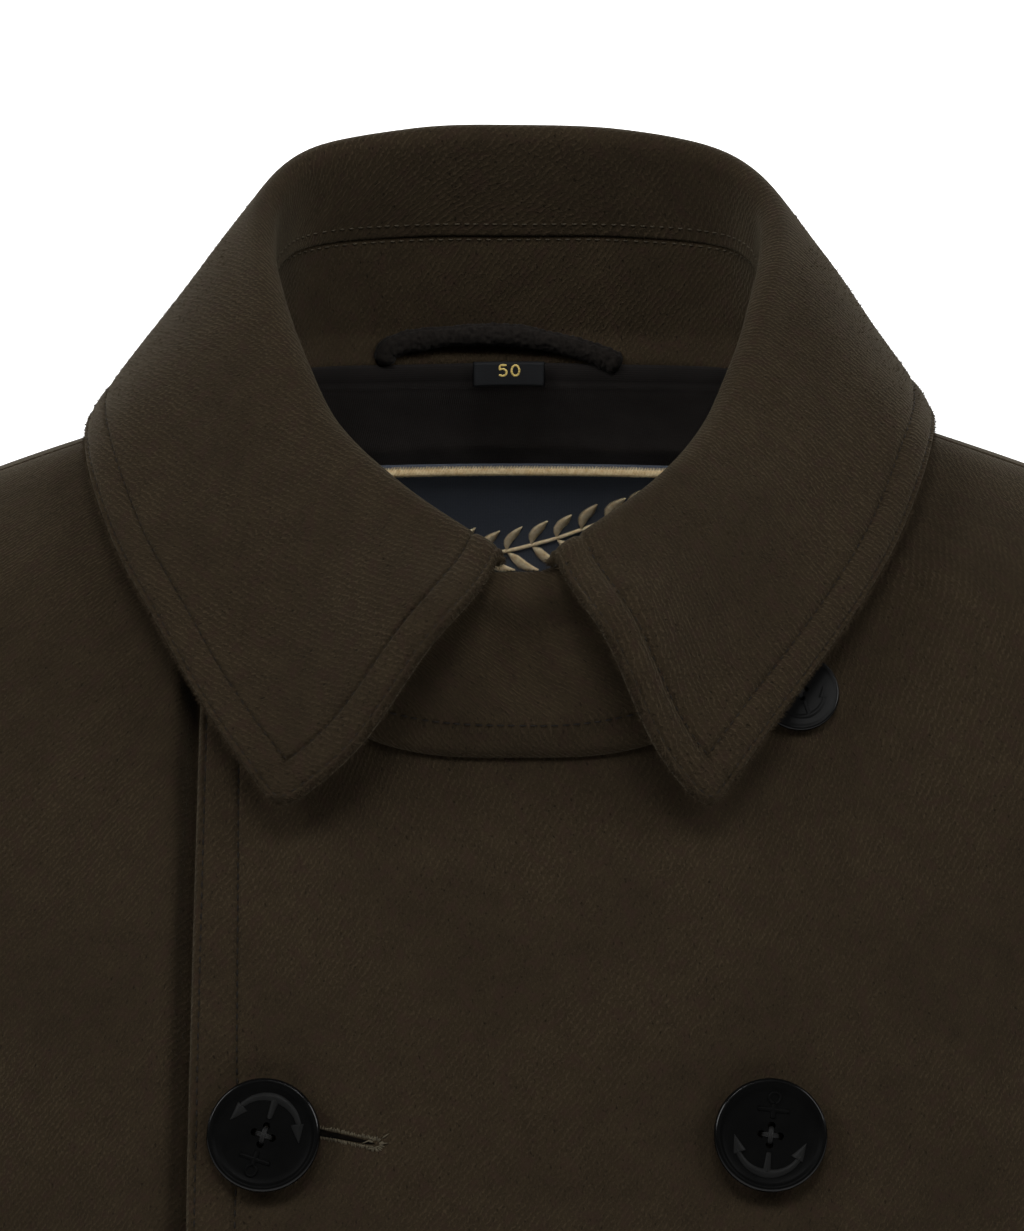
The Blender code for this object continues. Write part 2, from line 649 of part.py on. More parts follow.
def loop_points(count):
    pts = []
    for i in range(count + 1):
        at = (len(LOOP) - 1) * i / count
        k = min(len(LOOP) - 2, int(at))
        a, b = LOOP[max(0, k - 1)], LOOP[k]
        c, d = LOOP[k + 1], LOOP[min(len(LOOP) - 1, k + 2)]
        t = at - k
        x, up = (0.5 * (2 * b[q] + (c[q] - a[q]) * t + (2 * a[q] - 5 * b[q] + 4 * c[q] - d[q]) * t * t
                        + (3 * b[q] - a[q] - 3 * c[q] + d[q]) * t ** 3) for q in (0, 1))
        s = 0.0
        while neck_plan(s)[0] < abs(x):
            s += 0.002
        low, high, out = stand_edges(s if x >= 0 else -s)
        face = low.lerp(high, max(0.0, min(1.0, up / (high.z - low.z))))
        p = Vector((x, face.y, neck_point(s).z + up))
        pts.append(p + Vector((0, -1, 0)) * (LOOP_R + 0.0008))
    return pts


tube("hanger_loop", loop_points(18), LOOP_R, BLACK)


# ----------------------------------------------------------------- buttons
def button_mesh(name, radius, thick, hole_r, hole_off):
    """Turned disc with a raised rim and four holes."""
    dish = thick * 0.22
    profile = ((0.0, thick - dish), (radius * 0.60, thick - dish), (radius * 0.74, thick - dish * 0.35),
               (radius * 0.82, thick), (radius * 0.94, thick * 0.93), (radius, thick * 0.66),
               (radius * 0.98, thick * 0.30), (radius * 0.84, 0.0), (0.0, 0.0))
    bm = bmesh.new()
    knots = [bm.verts.new((r, 0.0, z)) for r, z in profile]
    for a, b in zip(knots, knots[1:]):
        bm.edges.new((a, b))
    mesh = bpy.data.meshes.new(name + "_profile")
    bm.to_mesh(mesh)
    bm.free()
    disc = bpy.data.objects.new(name + "_disc", mesh)
    cutters.objects.link(disc)
    turn = disc.modifiers.new("turn", "SCREW")
    turn.axis = "Z"
    turn.steps = turn.render_steps = 20
    turn.use_merge_vertices = True
    turn.merge_threshold = 0.00005
    turn.use_normal_calculate = True
    for k in range(4):
        way = math.radians(90 * k)
        bpy.ops.mesh.primitive_cylinder_add(vertices=6, radius=hole_r, depth=thick * 3,
                                            location=(hole_off * math.cos(way), hole_off * math.sin(way), thick / 2))
        pin = bpy.context.object
        pin.name = f"{name}_hole_{k}"
        for c in list(pin.users_collection):
            c.objects.unlink(pin)
        cutters.objects.link(pin)
        pin.hide_render = True
        pin.display_type = "WIRE"
        cut = disc.modifiers.new(f"hole_{k}", "BOOLEAN")
        cut.operation = "DIFFERENCE"
        cut.object = pin
    disc.hide_render = True
    disc.display_type = "WIRE"
    bpy.context.view_layer.update()
    solid = bpy.data.meshes.new_from_object(disc.evaluated_get(bpy.context.evaluated_depsgraph_get()))
    solid.name = name
    solid.shade_smooth()
    solid.set_sharp_from_angle(angle=math.radians(35))
    solid.materials.clear()
    solid.materials.append(finish_of(name, HORN))
    return solid


def seat(name, mesh, x, z):
    """A button on the left front's outer face."""
    p = front_point(x, z)
    n = normal_at(p)
    obj = bpy.data.objects.new(name, mesh)
    coat.objects.link(obj)
    obj.rotation_mode = "QUATERNION"
    obj.rotation_quaternion = n.to_track_quat("Z", "Y")
    obj.location = p + n * (CLOTH + 0.0006)
    return obj


large = button_mesh("large_button", BUTTON_R, BUTTON_T, BUTTON_HOLE_R, BUTTON_HOLE_OFF)
small = button_mesh("small_button", SMALL_R, SMALL_T, BUTTON_HOLE_R * 0.8, BUTTON_HOLE_OFF * 0.8)
for row in range(BUTTON_ROWS):
    level = BUTTON_TOP_Z - BUTTON_PITCH * row
    seat(f"button_right_{row + 1}", large, -BUTTON_X, level)
    seat(f"button_left_{row + 1}", large, BUTTON_X, level)
seat("button_collar", small, SMALL_X, SMALL_Z)
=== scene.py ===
import bpy
import bmesh
import math
from collections import namedtuple
import numpy as np
from mathutils import Vector, Matrix


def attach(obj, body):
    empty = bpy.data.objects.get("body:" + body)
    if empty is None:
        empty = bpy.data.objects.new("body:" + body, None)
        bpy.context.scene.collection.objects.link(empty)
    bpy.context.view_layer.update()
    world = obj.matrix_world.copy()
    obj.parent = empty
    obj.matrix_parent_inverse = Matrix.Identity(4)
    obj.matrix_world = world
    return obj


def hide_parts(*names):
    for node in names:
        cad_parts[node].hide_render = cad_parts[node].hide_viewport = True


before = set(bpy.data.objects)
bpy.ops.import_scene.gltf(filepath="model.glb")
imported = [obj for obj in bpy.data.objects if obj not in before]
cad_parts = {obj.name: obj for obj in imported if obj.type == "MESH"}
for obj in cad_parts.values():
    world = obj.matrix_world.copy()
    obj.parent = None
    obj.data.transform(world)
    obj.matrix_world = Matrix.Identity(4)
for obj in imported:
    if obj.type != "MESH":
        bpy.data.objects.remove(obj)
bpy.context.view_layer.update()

# ------------------------------------------------------------------ sizes
CLOTH = 0.0024
STAND_CLOTH = 0.0024
FALL_CLOTH = 0.0030
LINING_CLOTH = 0.0010
GAP = 0.0003
SEAM = 0.0002
UNDERLAP = 0.0042
CORNER_TUCK = 0.0030

HEM_Z = -0.800
ARMPIT_Z = -0.290
SHOULDER_Z = -0.062
FRONT_EDGE_TOP = 0.0885
FRONT_EDGE_HEM = 0.0945
FRONT_CORNER_Z = -0.056
NECK_HALF = 0.080
NECK_FRONT = 0.078
NECK_BACK = 0.058
NECK_FRONT_SQUARE = 3.0
NECK_BACK_SQUARE = 2.2
ARMHOLE_FRONT = 0.056
ARMHOLE_BACK = 0.066

SIDE_ROWS, ARM_ROWS = 8, 7
SHOULDER_COLS, NECK_COLS, FAR_COLS, BACK_NECK_COLS = 5, 8, 6, 12

BUTTON_R, BUTTON_T = 0.0161, 0.0042
SMALL_R, SMALL_T = 0.0115, 0.0027
BUTTON_X = 0.0703
BUTTON_TOP_Z, BUTTON_PITCH, BUTTON_ROWS = -0.1966, 0.120, 3
SMALL_X, SMALL_Z = 0.0796, -0.0813

LINING_INSET, LINING_ROWS, LINING_DEPTH = 3, 6, 0.0013
LABEL_X, LABEL_TOP_Z, LABEL_W, LABEL_H, LABEL_T = 0.003, -0.0335, 0.116, 0.064, 0.0008
BORDER_R = 0.0013
TAG_X, TAG_TOP_Z, TAG_W, TAG_H, TAG_T = -0.0024, 0.0008, 0.0219, 0.0074, 0.0006
LOOP_R = 0.0030
LAID = LINING_DEPTH + LINING_CLOTH + 0.0028

EDGE_STITCH, BAND_STITCH = 0.0025, 0.0119      # topstitching of the front edge
LEAF_STITCH, LEAF_BAND = 0.0023, 0.0105        # and of the collar
STITCH_PITCH = 0.0031
EDGE_LEAN, EDGE_LEAN_LOW = 0.0011, 0.0014         # the worn front edge hangs a little past its cut
TIP_R, TIP_DROP = 0.0078, 0.0044                  # rounded collar points
LEAF_LIFT, FRONT_LIFT, EDGE_LIFT = 0.0030, 0.0090, 0.0040
TIP_LAY = 0.0055
LIFT_WAY = np.array([0.0, -0.985, 0.174])

# ----------------------------------------------------------------- tables
Section = namedtuple("Section", "level half_width front back square")
BODY = (
    Section(-0.8000, 0.246, 0.160, 0.138, 2.40),
    Section(-0.6500, 0.236, 0.157, 0.130, 2.40),
    Section(-0.4800, 0.224, 0.152, 0.118, 2.40),
    Section(-0.3000, 0.226, 0.149, 0.127, 2.40),
    Section(-0.2080, 0.232, 0.128, 0.127, 2.25),
    Section(-0.1500, 0.238, 0.106, 0.120, 2.10),
    Section(-0.0955, 0.242, 0.078, 0.109, 2.00),
    Section(-0.0620, 0.235, 0.058, 0.097, 2.00),
    Section(-0.0300, 0.153, 0.033, 0.077, 2.00),
    Section(-0.0050, 0.080, 0.010, 0.056, 2.00),
)
Ring = namedtuple("Ring", "share out_x out_z in_x in_z mid_y depth")
SLEEVE = (
    Ring(0.00, 0.236, -0.062, 0.232, -0.288, 0.005, 0.061),
    Ring(0.07, 0.254, -0.075, 0.235, -0.296, 0.004, 0.070),
    Ring(0.16, 0.272, -0.108, 0.237, -0.308, 0.003, 0.079),
    Ring(0.28, 0.290, -0.180, 0.239, -0.330, 0.003, 0.082),
    Ring(0.42, 0.304, -0.290, 0.241, -0.378, 0.004, 0.079),
    Ring(0.60, 0.317, -0.430, 0.246, -0.465, 0.004, 0.073),
    Ring(0.80, 0.332, -0.580, 0.259, -0.585, -0.012, 0.064),
    Ring(1.00, 0.345, -0.712, 0.272, -0.700, -0.036, 0.056),
)
Top = namedtuple("Top", "station x y z")
STAND_TOP = (
    Top(0.00, 0.0000, 0.0550, 0.0352),
    Top(0.14, 0.0300, 0.0535, 0.0352),
    Top(0.28, 0.0580, 0.0430, 0.0342),
    Top(0.40, 0.0685, 0.0260, 0.0315),
    Top(0.50, 0.0715, 0.0080, 0.0240),
    Top(0.60, 0.0710, -0.0100, 0.010),
    Top(0.70, 0.0660, -0.0280, -0.006),
    Top(0.80, 0.0550, -0.0455, -0.023),
    Top(0.90, 0.0345, -0.0620, -0.038),
    Top(1.00, 0.0060, -0.0712, -0.0475),
)
STAND_MEET = 1.02
UNDER_END, OVER_END = 1.00, 1.17
NECK_LAP = 0.0021
SEAM_RISE = 0.0024
STAND_LAP = 0.0016
Leaf = namedtuple("Leaf", "station fold_x fold_y fold_z edge_x edge_y edge_z")
LEAF_RIGHT = (
    Leaf(0.00, 0.0000, 0.0510, 0.0686, 0.0000, 0.0840, -0.0220),
    Leaf(0.14, 0.0300, 0.0500, 0.0680, 0.0450, 0.0810, -0.0210),
    Leaf(0.28, 0.0590, 0.0440, 0.0630, 0.0870, 0.0680, -0.0180),
    Leaf(0.40, 0.0720, 0.0300, 0.0525, 0.1140, 0.0420, -0.0120),
    Leaf(0.50, 0.0742, 0.0120, 0.0415, 0.1243, 0.0120, -0.0120),
    Leaf(0.60, 0.0710, -0.0060, 0.0290, 0.1247, -0.0190, -0.0205),
    Leaf(0.70, 0.0640, -0.0240, 0.0130, 0.1163, -0.0430, -0.0400),
    Leaf(0.80, 0.0530, -0.0420, -0.0050, 0.1046, -0.0605, -0.0580),
    Leaf(0.90, 0.0330, -0.0600, -0.0205, 0.0873, -0.0780, -0.0840),
    Leaf(1.00, 0.0040, -0.0735, -0.0375, 0.0670, -0.0945, -0.1045),
)
LEAF_LEFT = (
    Leaf(0.00, 0.0000, 0.0510, 0.0686, 0.0000, 0.0840, -0.0220),
    Leaf(0.14, 0.0300, 0.0500, 0.0677, 0.0450, 0.0810, -0.0210),
    Leaf(0.28, 0.0590, 0.0440, 0.0623, 0.0870, 0.0680, -0.0180),
    Leaf(0.40, 0.0728, 0.0300, 0.0525, 0.1122, 0.0420, -0.0115),
    Leaf(0.50, 0.0748, 0.0120, 0.0415, 0.1212, 0.0120, -0.0110),
    Leaf(0.60, 0.0715, -0.0060, 0.0290, 0.1197, -0.0185, -0.0185),
    Leaf(0.70, 0.0655, -0.0240, 0.0130, 0.1106, -0.0415, -0.0380),
    Leaf(0.80, 0.0545, -0.0420, -0.0050, 0.0978, -0.0600, -0.0565),
    Leaf(0.90, 0.0360, -0.0600, -0.0205, 0.0771, -0.0795, -0.0810),
    Leaf(1.00, 0.0082, -0.0745, -0.0375, 0.0548, -0.0950, -0.1050),
)
FOLD_BACK_R, FOLD_FRONT_R, FOLD_END = 0.0045, 0.0038, math.radians(42)
BELLY_BACK, BELLY_SIDE, BELLY_FRONT = 0.0030, 0.0045, 0.0060
BOW_LEFT, BOW_RIGHT, HOLLOW = 0.0058, 0.0088, 0.0019
Hang = namedtuple("Hang", "x up")
LOOP = (Hang(-0.0394, 0.0044), Hang(-0.0388, 0.0076), Hang(-0.0368, 0.0098), Hang(-0.0300, 0.0116),
        Hang(-0.0150, 0.0128), Hang(0.0000, 0.0122), Hang(0.0140, 0.0098),
        Hang(0.0240, 0.0070), Hang(0.0282, 0.0052), Hang(0.0308, 0.0038))

# Soft troughs in the cloth: both ends, how far the line bows, depth and half width.
# Body creases are placed across and up; sleeve creases by degrees round and metres down.
Crease = namedtuple("Crease", "a_x a_z b_x b_z bow depth width")
FRONT_CREASES = (
    Crease(0.205, -0.300, 0.120, -0.215, 0.010, 0.0022, 0.014),
    Crease(0.215, -0.345, 0.105, -0.300, -0.008, 0.0026, 0.016),
    Crease(0.190, -0.250, 0.135, -0.130, 0.008, 0.0012, 0.013),
    Crease(0.060, -0.330, -0.030, -0.350, 0.006, 0.0010, 0.012),
    Crease(0.120, -0.470, 0.150, -0.790, 0.006, 0.0036, 0.024),
    Crease(0.030, -0.520, 0.022, -0.795, -0.004, 0.0020, 0.020),
    Crease(0.200, -0.420, 0.213, -0.740, 0.004, 0.0030, 0.018),
    Crease(-0.040, -0.470, -0.052, -0.780, 0.003, 0.0013, 0.016),
    Crease(0.195, -0.455, 0.085, -0.420, 0.007, 0.0020, 0.013),
)
BACK_CREASES = (
    Crease(0.190, -0.250, 0.070, -0.180, 0.010, 0.0026, 0.015),
    Crease(-0.195, -0.262, -0.085, -0.205, -0.012, 0.0030, 0.016),
    Crease(0.150, -0.420, -0.010, -0.450, 0.010, 0.0024, 0.013),
    Crease(-0.165, -0.405, -0.040, -0.425, -0.008, 0.0022, 0.012),
    Crease(0.120, -0.465, 0.020, -0.480, 0.006, 0.0016, 0.010),
    Crease(-0.060, -0.470, -0.075, -0.795, 0.006, 0.0040, 0.026),
    Crease(0.072, -0.480, 0.090, -0.795, -0.006, 0.0036, 0.024),
    Crease(0.010, -0.540, 0.004, -0.790, 0.003, 0.0018, 0.018),
    Crease(-0.165, -0.450, -0.180, -0.780, 0.006, 0.0030, 0.020),
    Crease(0.172, -0.470, 0.186, -0.770, -0.004, 0.0026, 0.020),
    Crease(0.050, -0.050, 0.060, -0.180, 0.006, 0.0010, 0.018),
)
SLEEVE_CREASES = (
    Crease(60, 0.050, 150, 0.185, 0.012, 0.0040, 0.014),
    Crease(95, 0.040, 170, 0.130, 0.008, 0.0034, 0.012),
    Crease(-70, 0.060, -150, 0.190, 0.010, 0.0036, 0.014),
    Crease(-40, 0.120, -120, 0.235, -0.008, 0.0024, 0.013),
    Crease(35, 0.300, 150, 0.335, 0.010, 0.0042, 0.012),
    Crease(55, 0.345, 165, 0.365, -0.008, 0.0044, 0.012),
    Crease(30, 0.395, 130, 0.385, 0.006, 0.0030, 0.011),
    Crease(-60, 0.330, -10, 0.360, 0.006, 0.0020, 0.012),
    Crease(80, 0.455, 175, 0.430, 0.006, 0.0026, 0.012),
    Crease(-120, 0.400, -170, 0.370, 0.006, 0.0026, 0.012),
    Crease(20, 0.540, 100, 0.520, 0.006, 0.0018, 0.011),
    Crease(-30, 0.560, -130, 0.545, -0.006, 0.0020, 0.012),
)


# -------------------------------------------------------------- smooth rows
def ease(t):
    t = np.clip(t, 0.0, 1.0)
    return t * t * (3 - 2 * t)


def vec(x, y, z):
    return np.stack(np.broadcast_arrays(np.asarray(x, float), np.asarray(y, float), np.asarray(z, float)), -1)


def unit(v):
    return v / np.maximum(np.linalg.norm(v, axis=-1, keepdims=True), 1e-12)


class Smooth:
    """A smooth curve through one column of a table that never overshoots its rows."""

    def __init__(self, rows, name):
        self.at = np.array([r[0] for r in rows], float)
        self.value = np.array([getattr(r, name) for r in rows], float)
        slope = np.diff(self.value) / np.diff(self.at)
        lean = [slope[0]]
        for a, b in zip(slope, slope[1:]):
            lean.append(0.0 if a * b <= 0.0 else 2.0 * a * b / (a + b))
        self.lean = np.array(lean + [slope[-1]])

    def __call__(self, at):
        at = np.asarray(at, float)
        i = np.clip(np.searchsorted(self.at, at, side="right") - 1, 0, len(self.at) - 2)
        h = self.at[i + 1] - self.at[i]
        t = np.clip((at - self.at[i]) / h, 0.0, 1.0)
        mid = (self.value[i] * (1 + 2 * t) * (1 - t) ** 2 + self.lean[i] * h * t * (1 - t) ** 2
               + self.value[i + 1] * t * t * (3 - 2 * t) + self.lean[i + 1] * h * t * t * (t - 1))
        mid = mid + self.lean[0] * np.minimum(0.0, at - self.at[0])
        return mid + self.lean[-1] * np.maximum(0.0, at - self.at[-1])


def swept(rows, names, at):
    """Points on a smooth line through the rows; row 0 lies on the plane x = 0."""
    ats = np.array([r[0] for r in rows], float)
    pts = np.array([[getattr(r, n) for n in names] for r in rows], float)
    before = pts[1] * np.array([-1.0, 1.0, 1.0])
    ats = np.concatenate([[-ats[1]], ats, [2 * ats[-1] - ats[-2]]])
    pts = np.concatenate([[before], pts, [2 * pts[-1] - pts[-2]]])
    at = np.asarray(at, float)
    i = np.clip(np.searchsorted(ats, np.maximum(at, 0.0), side="right") - 1, 1, len(ats) - 3)
    s0, s1, s2, s3 = (ats[i + k][..., None] for k in (-1, 0, 1, 2))
    p0, p1, p2, p3 = (pts[i + k] for k in (-1, 0, 1, 2))
    m1 = (p2 - p0) / (s2 - s0) * (s2 - s1)
    m2 = (p3 - p1) / (s3 - s1) * (s2 - s1)
    t = (at[..., None] - s1) / (s2 - s1)
    return (p1 * (1 + 2 * t) * (1 - t) ** 2 + m1 * t * (1 - t) ** 2
            + p2 * t * t * (3 - 2 * t) + m2 * t * t * (t - 1))


# --------------------------------------------------------------- body form
WIDE, FRONT, BACK, SQUARE = (Smooth(BODY, n) for n in Section._fields[1:])
CREST_Z = -0.0042


def section(level):
    level = np.minimum(level, CREST_Z)
    return WIDE(level), FRONT(level), BACK(level), SQUARE(level)


def excess(p):
    x, y, z = p[..., 0], p[..., 1], p[..., 2]
    a, f, b, n = section(z)
    d = np.where(y > 0.0, b, f)
    return np.abs(x / a) ** n + np.abs(y / d) ** n - 1.0 + 60.0 * np.maximum(0.0, z - CREST_Z)


def slope_at(p):
    e = 1e-5
    out = np.empty_like(p)
    for k in range(3):
        step = np.zeros(3)
        step[k] = e
        out[..., k] = (excess(p + step) - excess(p - step)) / (2 * e)
    return out


def normal_at(p):
    return unit(slope_at(p))


def settle(p, turns=5):
    """The nearest points on the form, in short steps."""
    p = p.copy()
    for _ in range(turns):
        g = slope_at(p)
        size = np.linalg.norm(g, axis=-1)
        step = np.clip(excess(p) / size, -0.012, 0.012)
        p -= g / size[..., None] * step[..., None]
    return p


def front_point(x, z):
    x, z = np.broadcast_arrays(np.asarray(x, float), np.asarray(z, float))
    a, f, b, n = section(z)
    return vec(x, -f * np.maximum(0.0, 1 - np.abs(x / a) ** n) ** (1 / n), z)


def back_point(x, z):
    x, z = np.broadcast_arrays(np.asarray(x, float), np.asarray(z, float))
    a, f, b, n = section(z)
    return vec(x, b * np.maximum(0.0, 1 - np.abs(x / a) ** n) ** (1 / n), z)


def top_point(x, y):
    x, y = np.broadcast_arrays(np.asarray(x, float), np.asarray(y, float))
    low, high = np.full(x.shape, -0.110), np.full(x.shape, -0.0035)
    for _ in range(50):
        mid = (low + high) / 2
        inside = excess(vec(x, y, mid)) < 0.0
        low, high = np.where(inside, mid, low), np.where(inside, high, mid)
    return vec(x, y, (low + high) / 2)


def neck_point(station):
    """Neckline: station 0 is centre back, STAND_MEET is centre front."""
    turn = math.pi * np.asarray(station, float) / STAND_MEET
    c, s = np.cos(turn), np.sin(turn)
    reach = np.where(c > 0, NECK_BACK, NECK_FRONT)
    square = np.where(c > 0, NECK_BACK_SQUARE, NECK_FRONT_SQUARE)
    return top_point(NECK_HALF * np.copysign(np.abs(s) ** (2 / square), s),
                     reach * np.copysign(np.abs(c) ** (2 / square), c))


def armhole_point(turn):
    """turn 0 is the shoulder point, +90 degrees the front, 180 the armpit."""
    turn = np.asarray(turn, float)
    mid, half = (SHOULDER_Z + ARMPIT_Z) / 2, (SHOULDER_Z - ARMPIT_Z) / 2
    z = mid + half * np.cos(turn)
    s = np.sin(turn)
    y = -np.where(s > 0, ARMHOLE_FRONT, ARMHOLE_BACK) * np.copysign(np.abs(s) ** 0.85, s)
    a, f, b, n = section(z)
    d = np.where(y > 0, b, f)
    return vec(a * np.maximum(0.0, 1 - np.abs(y / d) ** n) ** (1 / n), y, z)


# --------------------------------------------------------- lines and grids
def lengths(p, axis=0):
    step = np.linalg.norm(np.diff(p, axis=axis), axis=-1)
    pad = [(0, 0)] * step.ndim
    pad[axis] = (1, 0)
    return np.pad(np.cumsum(step, axis=axis), pad)


def evened(p, count):
    """The same line with its points evenly spaced."""
    far = lengths(p)
    goal = np.linspace(0.0, far[-1], count + 1)
    return np.stack([np.interp(goal, far, p[:, k]) for k in range(3)], -1)


def respaced(p, axis, near, count, far):
    """The same lines with points at set distances from both ends and even steps between."""
    p = np.moveaxis(p, axis, 0)
    run = lengths(p)
    near, far = np.asarray(near, float), np.asarray(far, float)
    out = np.empty((len(near) + count + len(far),) + p.shape[1:])
    for r in range(p.shape[1]):
        total = run[-1, r]
        goal = np.concatenate([near, np.linspace(near[-1], total - far[-1], count + 2)[1:-1], (total - far)[::-1]])
        for k in range(3):
            out[:, r, k] = np.interp(goal, run[:, r], p[:, r, k])
    return np.moveaxis(out, 0, axis)


def grid_normals(p, wrap=False):
    if wrap:
        du = np.roll(p, -1, 0) - np.roll(p, 1, 0)
    else:
        du = np.gradient(p, axis=0)
    dv = np.gradient(p, axis=1)
    return unit(np.cross(du, dv))


def flipped(p):
    return p * np.array([-1.0, 1.0, 1.0])


def mm(*values):
    return np.array(values) / 1000.0


def round_off(d, r):
    """Rise of a rounded edge, 0 at the border and 1 from r inwards."""
    return np.sqrt(np.maximum(0.0, 1 - (1 - np.minimum(d / r, 1.0)) ** 2))


def groove(d, at, width):
    return np.exp(-((d - at) / width) ** 2)


def creased(x, z, table, scale=1.0):
    """Height of the cloth over the places (x, z), below 0 in a trough."""
    high = np.zeros(np.broadcast(x, z).shape)
    for c in table:
        dx, dz = c.b_x - c.a_x, c.b_z - c.a_z
        size = math.hypot(dx, dz)
        t = ((x - c.a_x) * dx + (z - c.a_z) * dz) / size ** 2
        off = ((z - c.a_z) * dx - (x - c.a_x) * dz) / size - c.bow * 4 * t * (1 - t)
        ends = ease((t + 0.15) / 0.45) * ease((1.15 - t) / 0.45)
        high += c.depth * scale * ends * (0.45 * np.exp(-((np.abs(off) - 1.9 * c.width) / c.width) ** 2)
                                          - np.exp(-(off / c.width) ** 2))
    return high


def uneven(u, v, size, seed):
    """Slow, irregular swell of the cloth, about -1 to 1, over lengths of about size."""
    rng = np.random.default_rng(seed)
    out = np.zeros(np.broadcast(u, v).shape)
    for _ in range(7):
        way = rng.uniform(0, 2 * math.pi)
        wave = 2 * math.pi / (size * rng.uniform(0.7, 1.8))
        out += np.sin((u * math.cos(way) + v * math.sin(way)) * wave + rng.uniform(0, 6.28)) / 7 ** 0.5
    return out * 0.6


# ------------------------------------------------------------------ meshes
def link(obj):
    bpy.context.scene.collection.objects.link(obj)
    return obj


def mesh_object(name, verts, faces, material, uv=None):
    mesh = bpy.data.meshes.new(name)
    mesh.from_pydata(verts.tolist(), [], faces.tolist() if hasattr(faces, "tolist") else faces)
    mesh.shade_smooth()
    if uv is not None:
        layer = mesh.uv_layers.new(name="weave")
        at = np.empty(len(mesh.loops), np.int32)
        mesh.loops.foreach_get("vertex_index", at)
        layer.data.foreach_set("uv", uv[at].astype(np.float32).ravel())
    mesh.materials.append(material)
    mesh.validate()
    return link(bpy.data.objects.new(name, mesh))


def shell(name, outer, inner, uv, material, wrap=False):
    """Closed cloth of two layers: the face, the under face, and a shared border."""
    m, n = outer.shape[:2]
    top = np.arange(m * n).reshape(m, n)
    low = top + m * n
    low[:, 0], low[:, -1] = top[:, 0], top[:, -1]
    if not wrap:
        low[0], low[-1] = top[0], top[-1]

    def quads(ids):
        if wrap:
            ids = np.concatenate([ids, ids[:1]])
        return np.stack([ids[:-1, :-1], ids[1:, :-1], ids[1:, 1:], ids[:-1, 1:]], -1).reshape(-1, 4)
    faces = np.concatenate([quads(top), quads(low)[:, ::-1]])
    verts = np.concatenate([outer.reshape(-1, 3), inner.reshape(-1, 3)])
    flat = np.concatenate([uv.reshape(-1, 2), uv.reshape(-1, 2)])
    mid = (m // 2) * n + n // 2
    q = faces[(m // 2) * (n - 1) + n // 2]
    face_way = np.cross(verts[q[1]] - verts[q[0]], verts[q[3]] - verts[q[0]])
    if np.dot(face_way, verts[mid] - verts[mid + m * n]) < 0:
        faces = faces[:, ::-1]
    used, at = np.unique(faces, return_inverse=True)
    return mesh_object(name, verts[used], at.reshape(faces.shape), material, flat[used])


def grid_area(p, wrap=False):
    if wrap:
        p = np.concatenate([p, p[:1]])
    a, b, c, d = p[:-1, :-1], p[1:, :-1], p[1:, 1:], p[:-1, 1:]
    return float(np.linalg.norm(np.cross(c - a, d - b), axis=-1).sum() / 2)


def thread_mesh(starts, ends, normals, radius, arch, rings=6, sides=6, flat=1.0):
    """Short threads from starts to ends, arched over the cloth and sunk at both ends."""
    starts, ends, normals = (np.asarray(a, float) for a in (starts, ends, normals))
    count = len(starts)
    along = unit(ends - starts)
    up = unit(normals - along * np.sum(normals * along, -1, keepdims=True))
    across = np.cross(along, up)
    t = np.linspace(0.0, 1.0, rings)
    girth = np.sqrt(np.maximum(0.0, 1 - np.abs(2 * t - 1) ** 3)) * 0.9 + 0.1
    lift = arch * (1 - (2 * t - 1) ** 2) - arch * 0.35
    turn = np.linspace(0, 2 * math.pi, sides, endpoint=False)
    core = starts[:, None] + (ends - starts)[:, None] * t[None, :, None] + up[:, None] * lift[None, :, None]
    size = radius * girth[None, :, None, None]
    verts = core[:, :, None] + size * (up[:, None, None] * (np.sin(turn) * flat)[None, None, :, None]
                                       + across[:, None, None] * np.cos(turn)[None, None, :, None])
    ids = np.arange(count * rings * sides).reshape(count, rings, sides)
    nxt = np.roll(ids, -1, 2)
    walls = np.stack([ids[:, :-1], nxt[:, :-1], nxt[:, 1:], ids[:, 1:]], -1).reshape(-1, 4).tolist()
    caps = ids[:, 0, ::-1].tolist() + ids[:, -1].tolist()
    return verts.reshape(-1, 3), walls + caps


def joined(parts):
    verts, faces, base = [], [], 0
    for v, f in parts:
        verts.append(v)
        faces += [[k + base for k in one] for one in f]
        base += len(v)
    return np.concatenate(verts), faces


def run_of_stitches(path, normals, pitch, share, radius, arch, jitter=0.05, rise=0.0):
    """Stitches along a line of points that lie on the cloth."""
    far = lengths(path)
    count = max(1, int(far[-1] / pitch))
    rng = np.random.default_rng(count)
    first = (np.arange(count) + rng.uniform(-jitter, jitter, count)) * pitch
    last = first + pitch * share

    def at(goal, field):
        return np.stack([np.interp(goal, far, field[:, k]) for k in range(3)], -1)
    n = unit(at((first + last) / 2, normals))
    return thread_mesh(at(first, path) + n * rise, at(last, path) + n * rise, n, radius, arch, sides=5)


# --------------------------------------------------------------- materials
def nodes_of(name):
    mat = bpy.data.materials.new(name)
    mat.use_nodes = True
    tree = mat.node_tree
    return mat, tree, tree.nodes["Principled BSDF"]


def add(tree, kind, **settings):
    node = tree.nodes.new(kind)
    for key, value in settings.items():
        setattr(node, key, value)
    return node


def feed(tree, node, **values):
    """Set a node's inputs by name, with _ for a space, from numbers or other outputs."""
    for key, value in values.items():
        socket = node.inputs[key.replace("_", " ")]
        if hasattr(value, "is_output"):
            tree.links.new(value, socket)
        else:
            socket.default_value = value
    return node


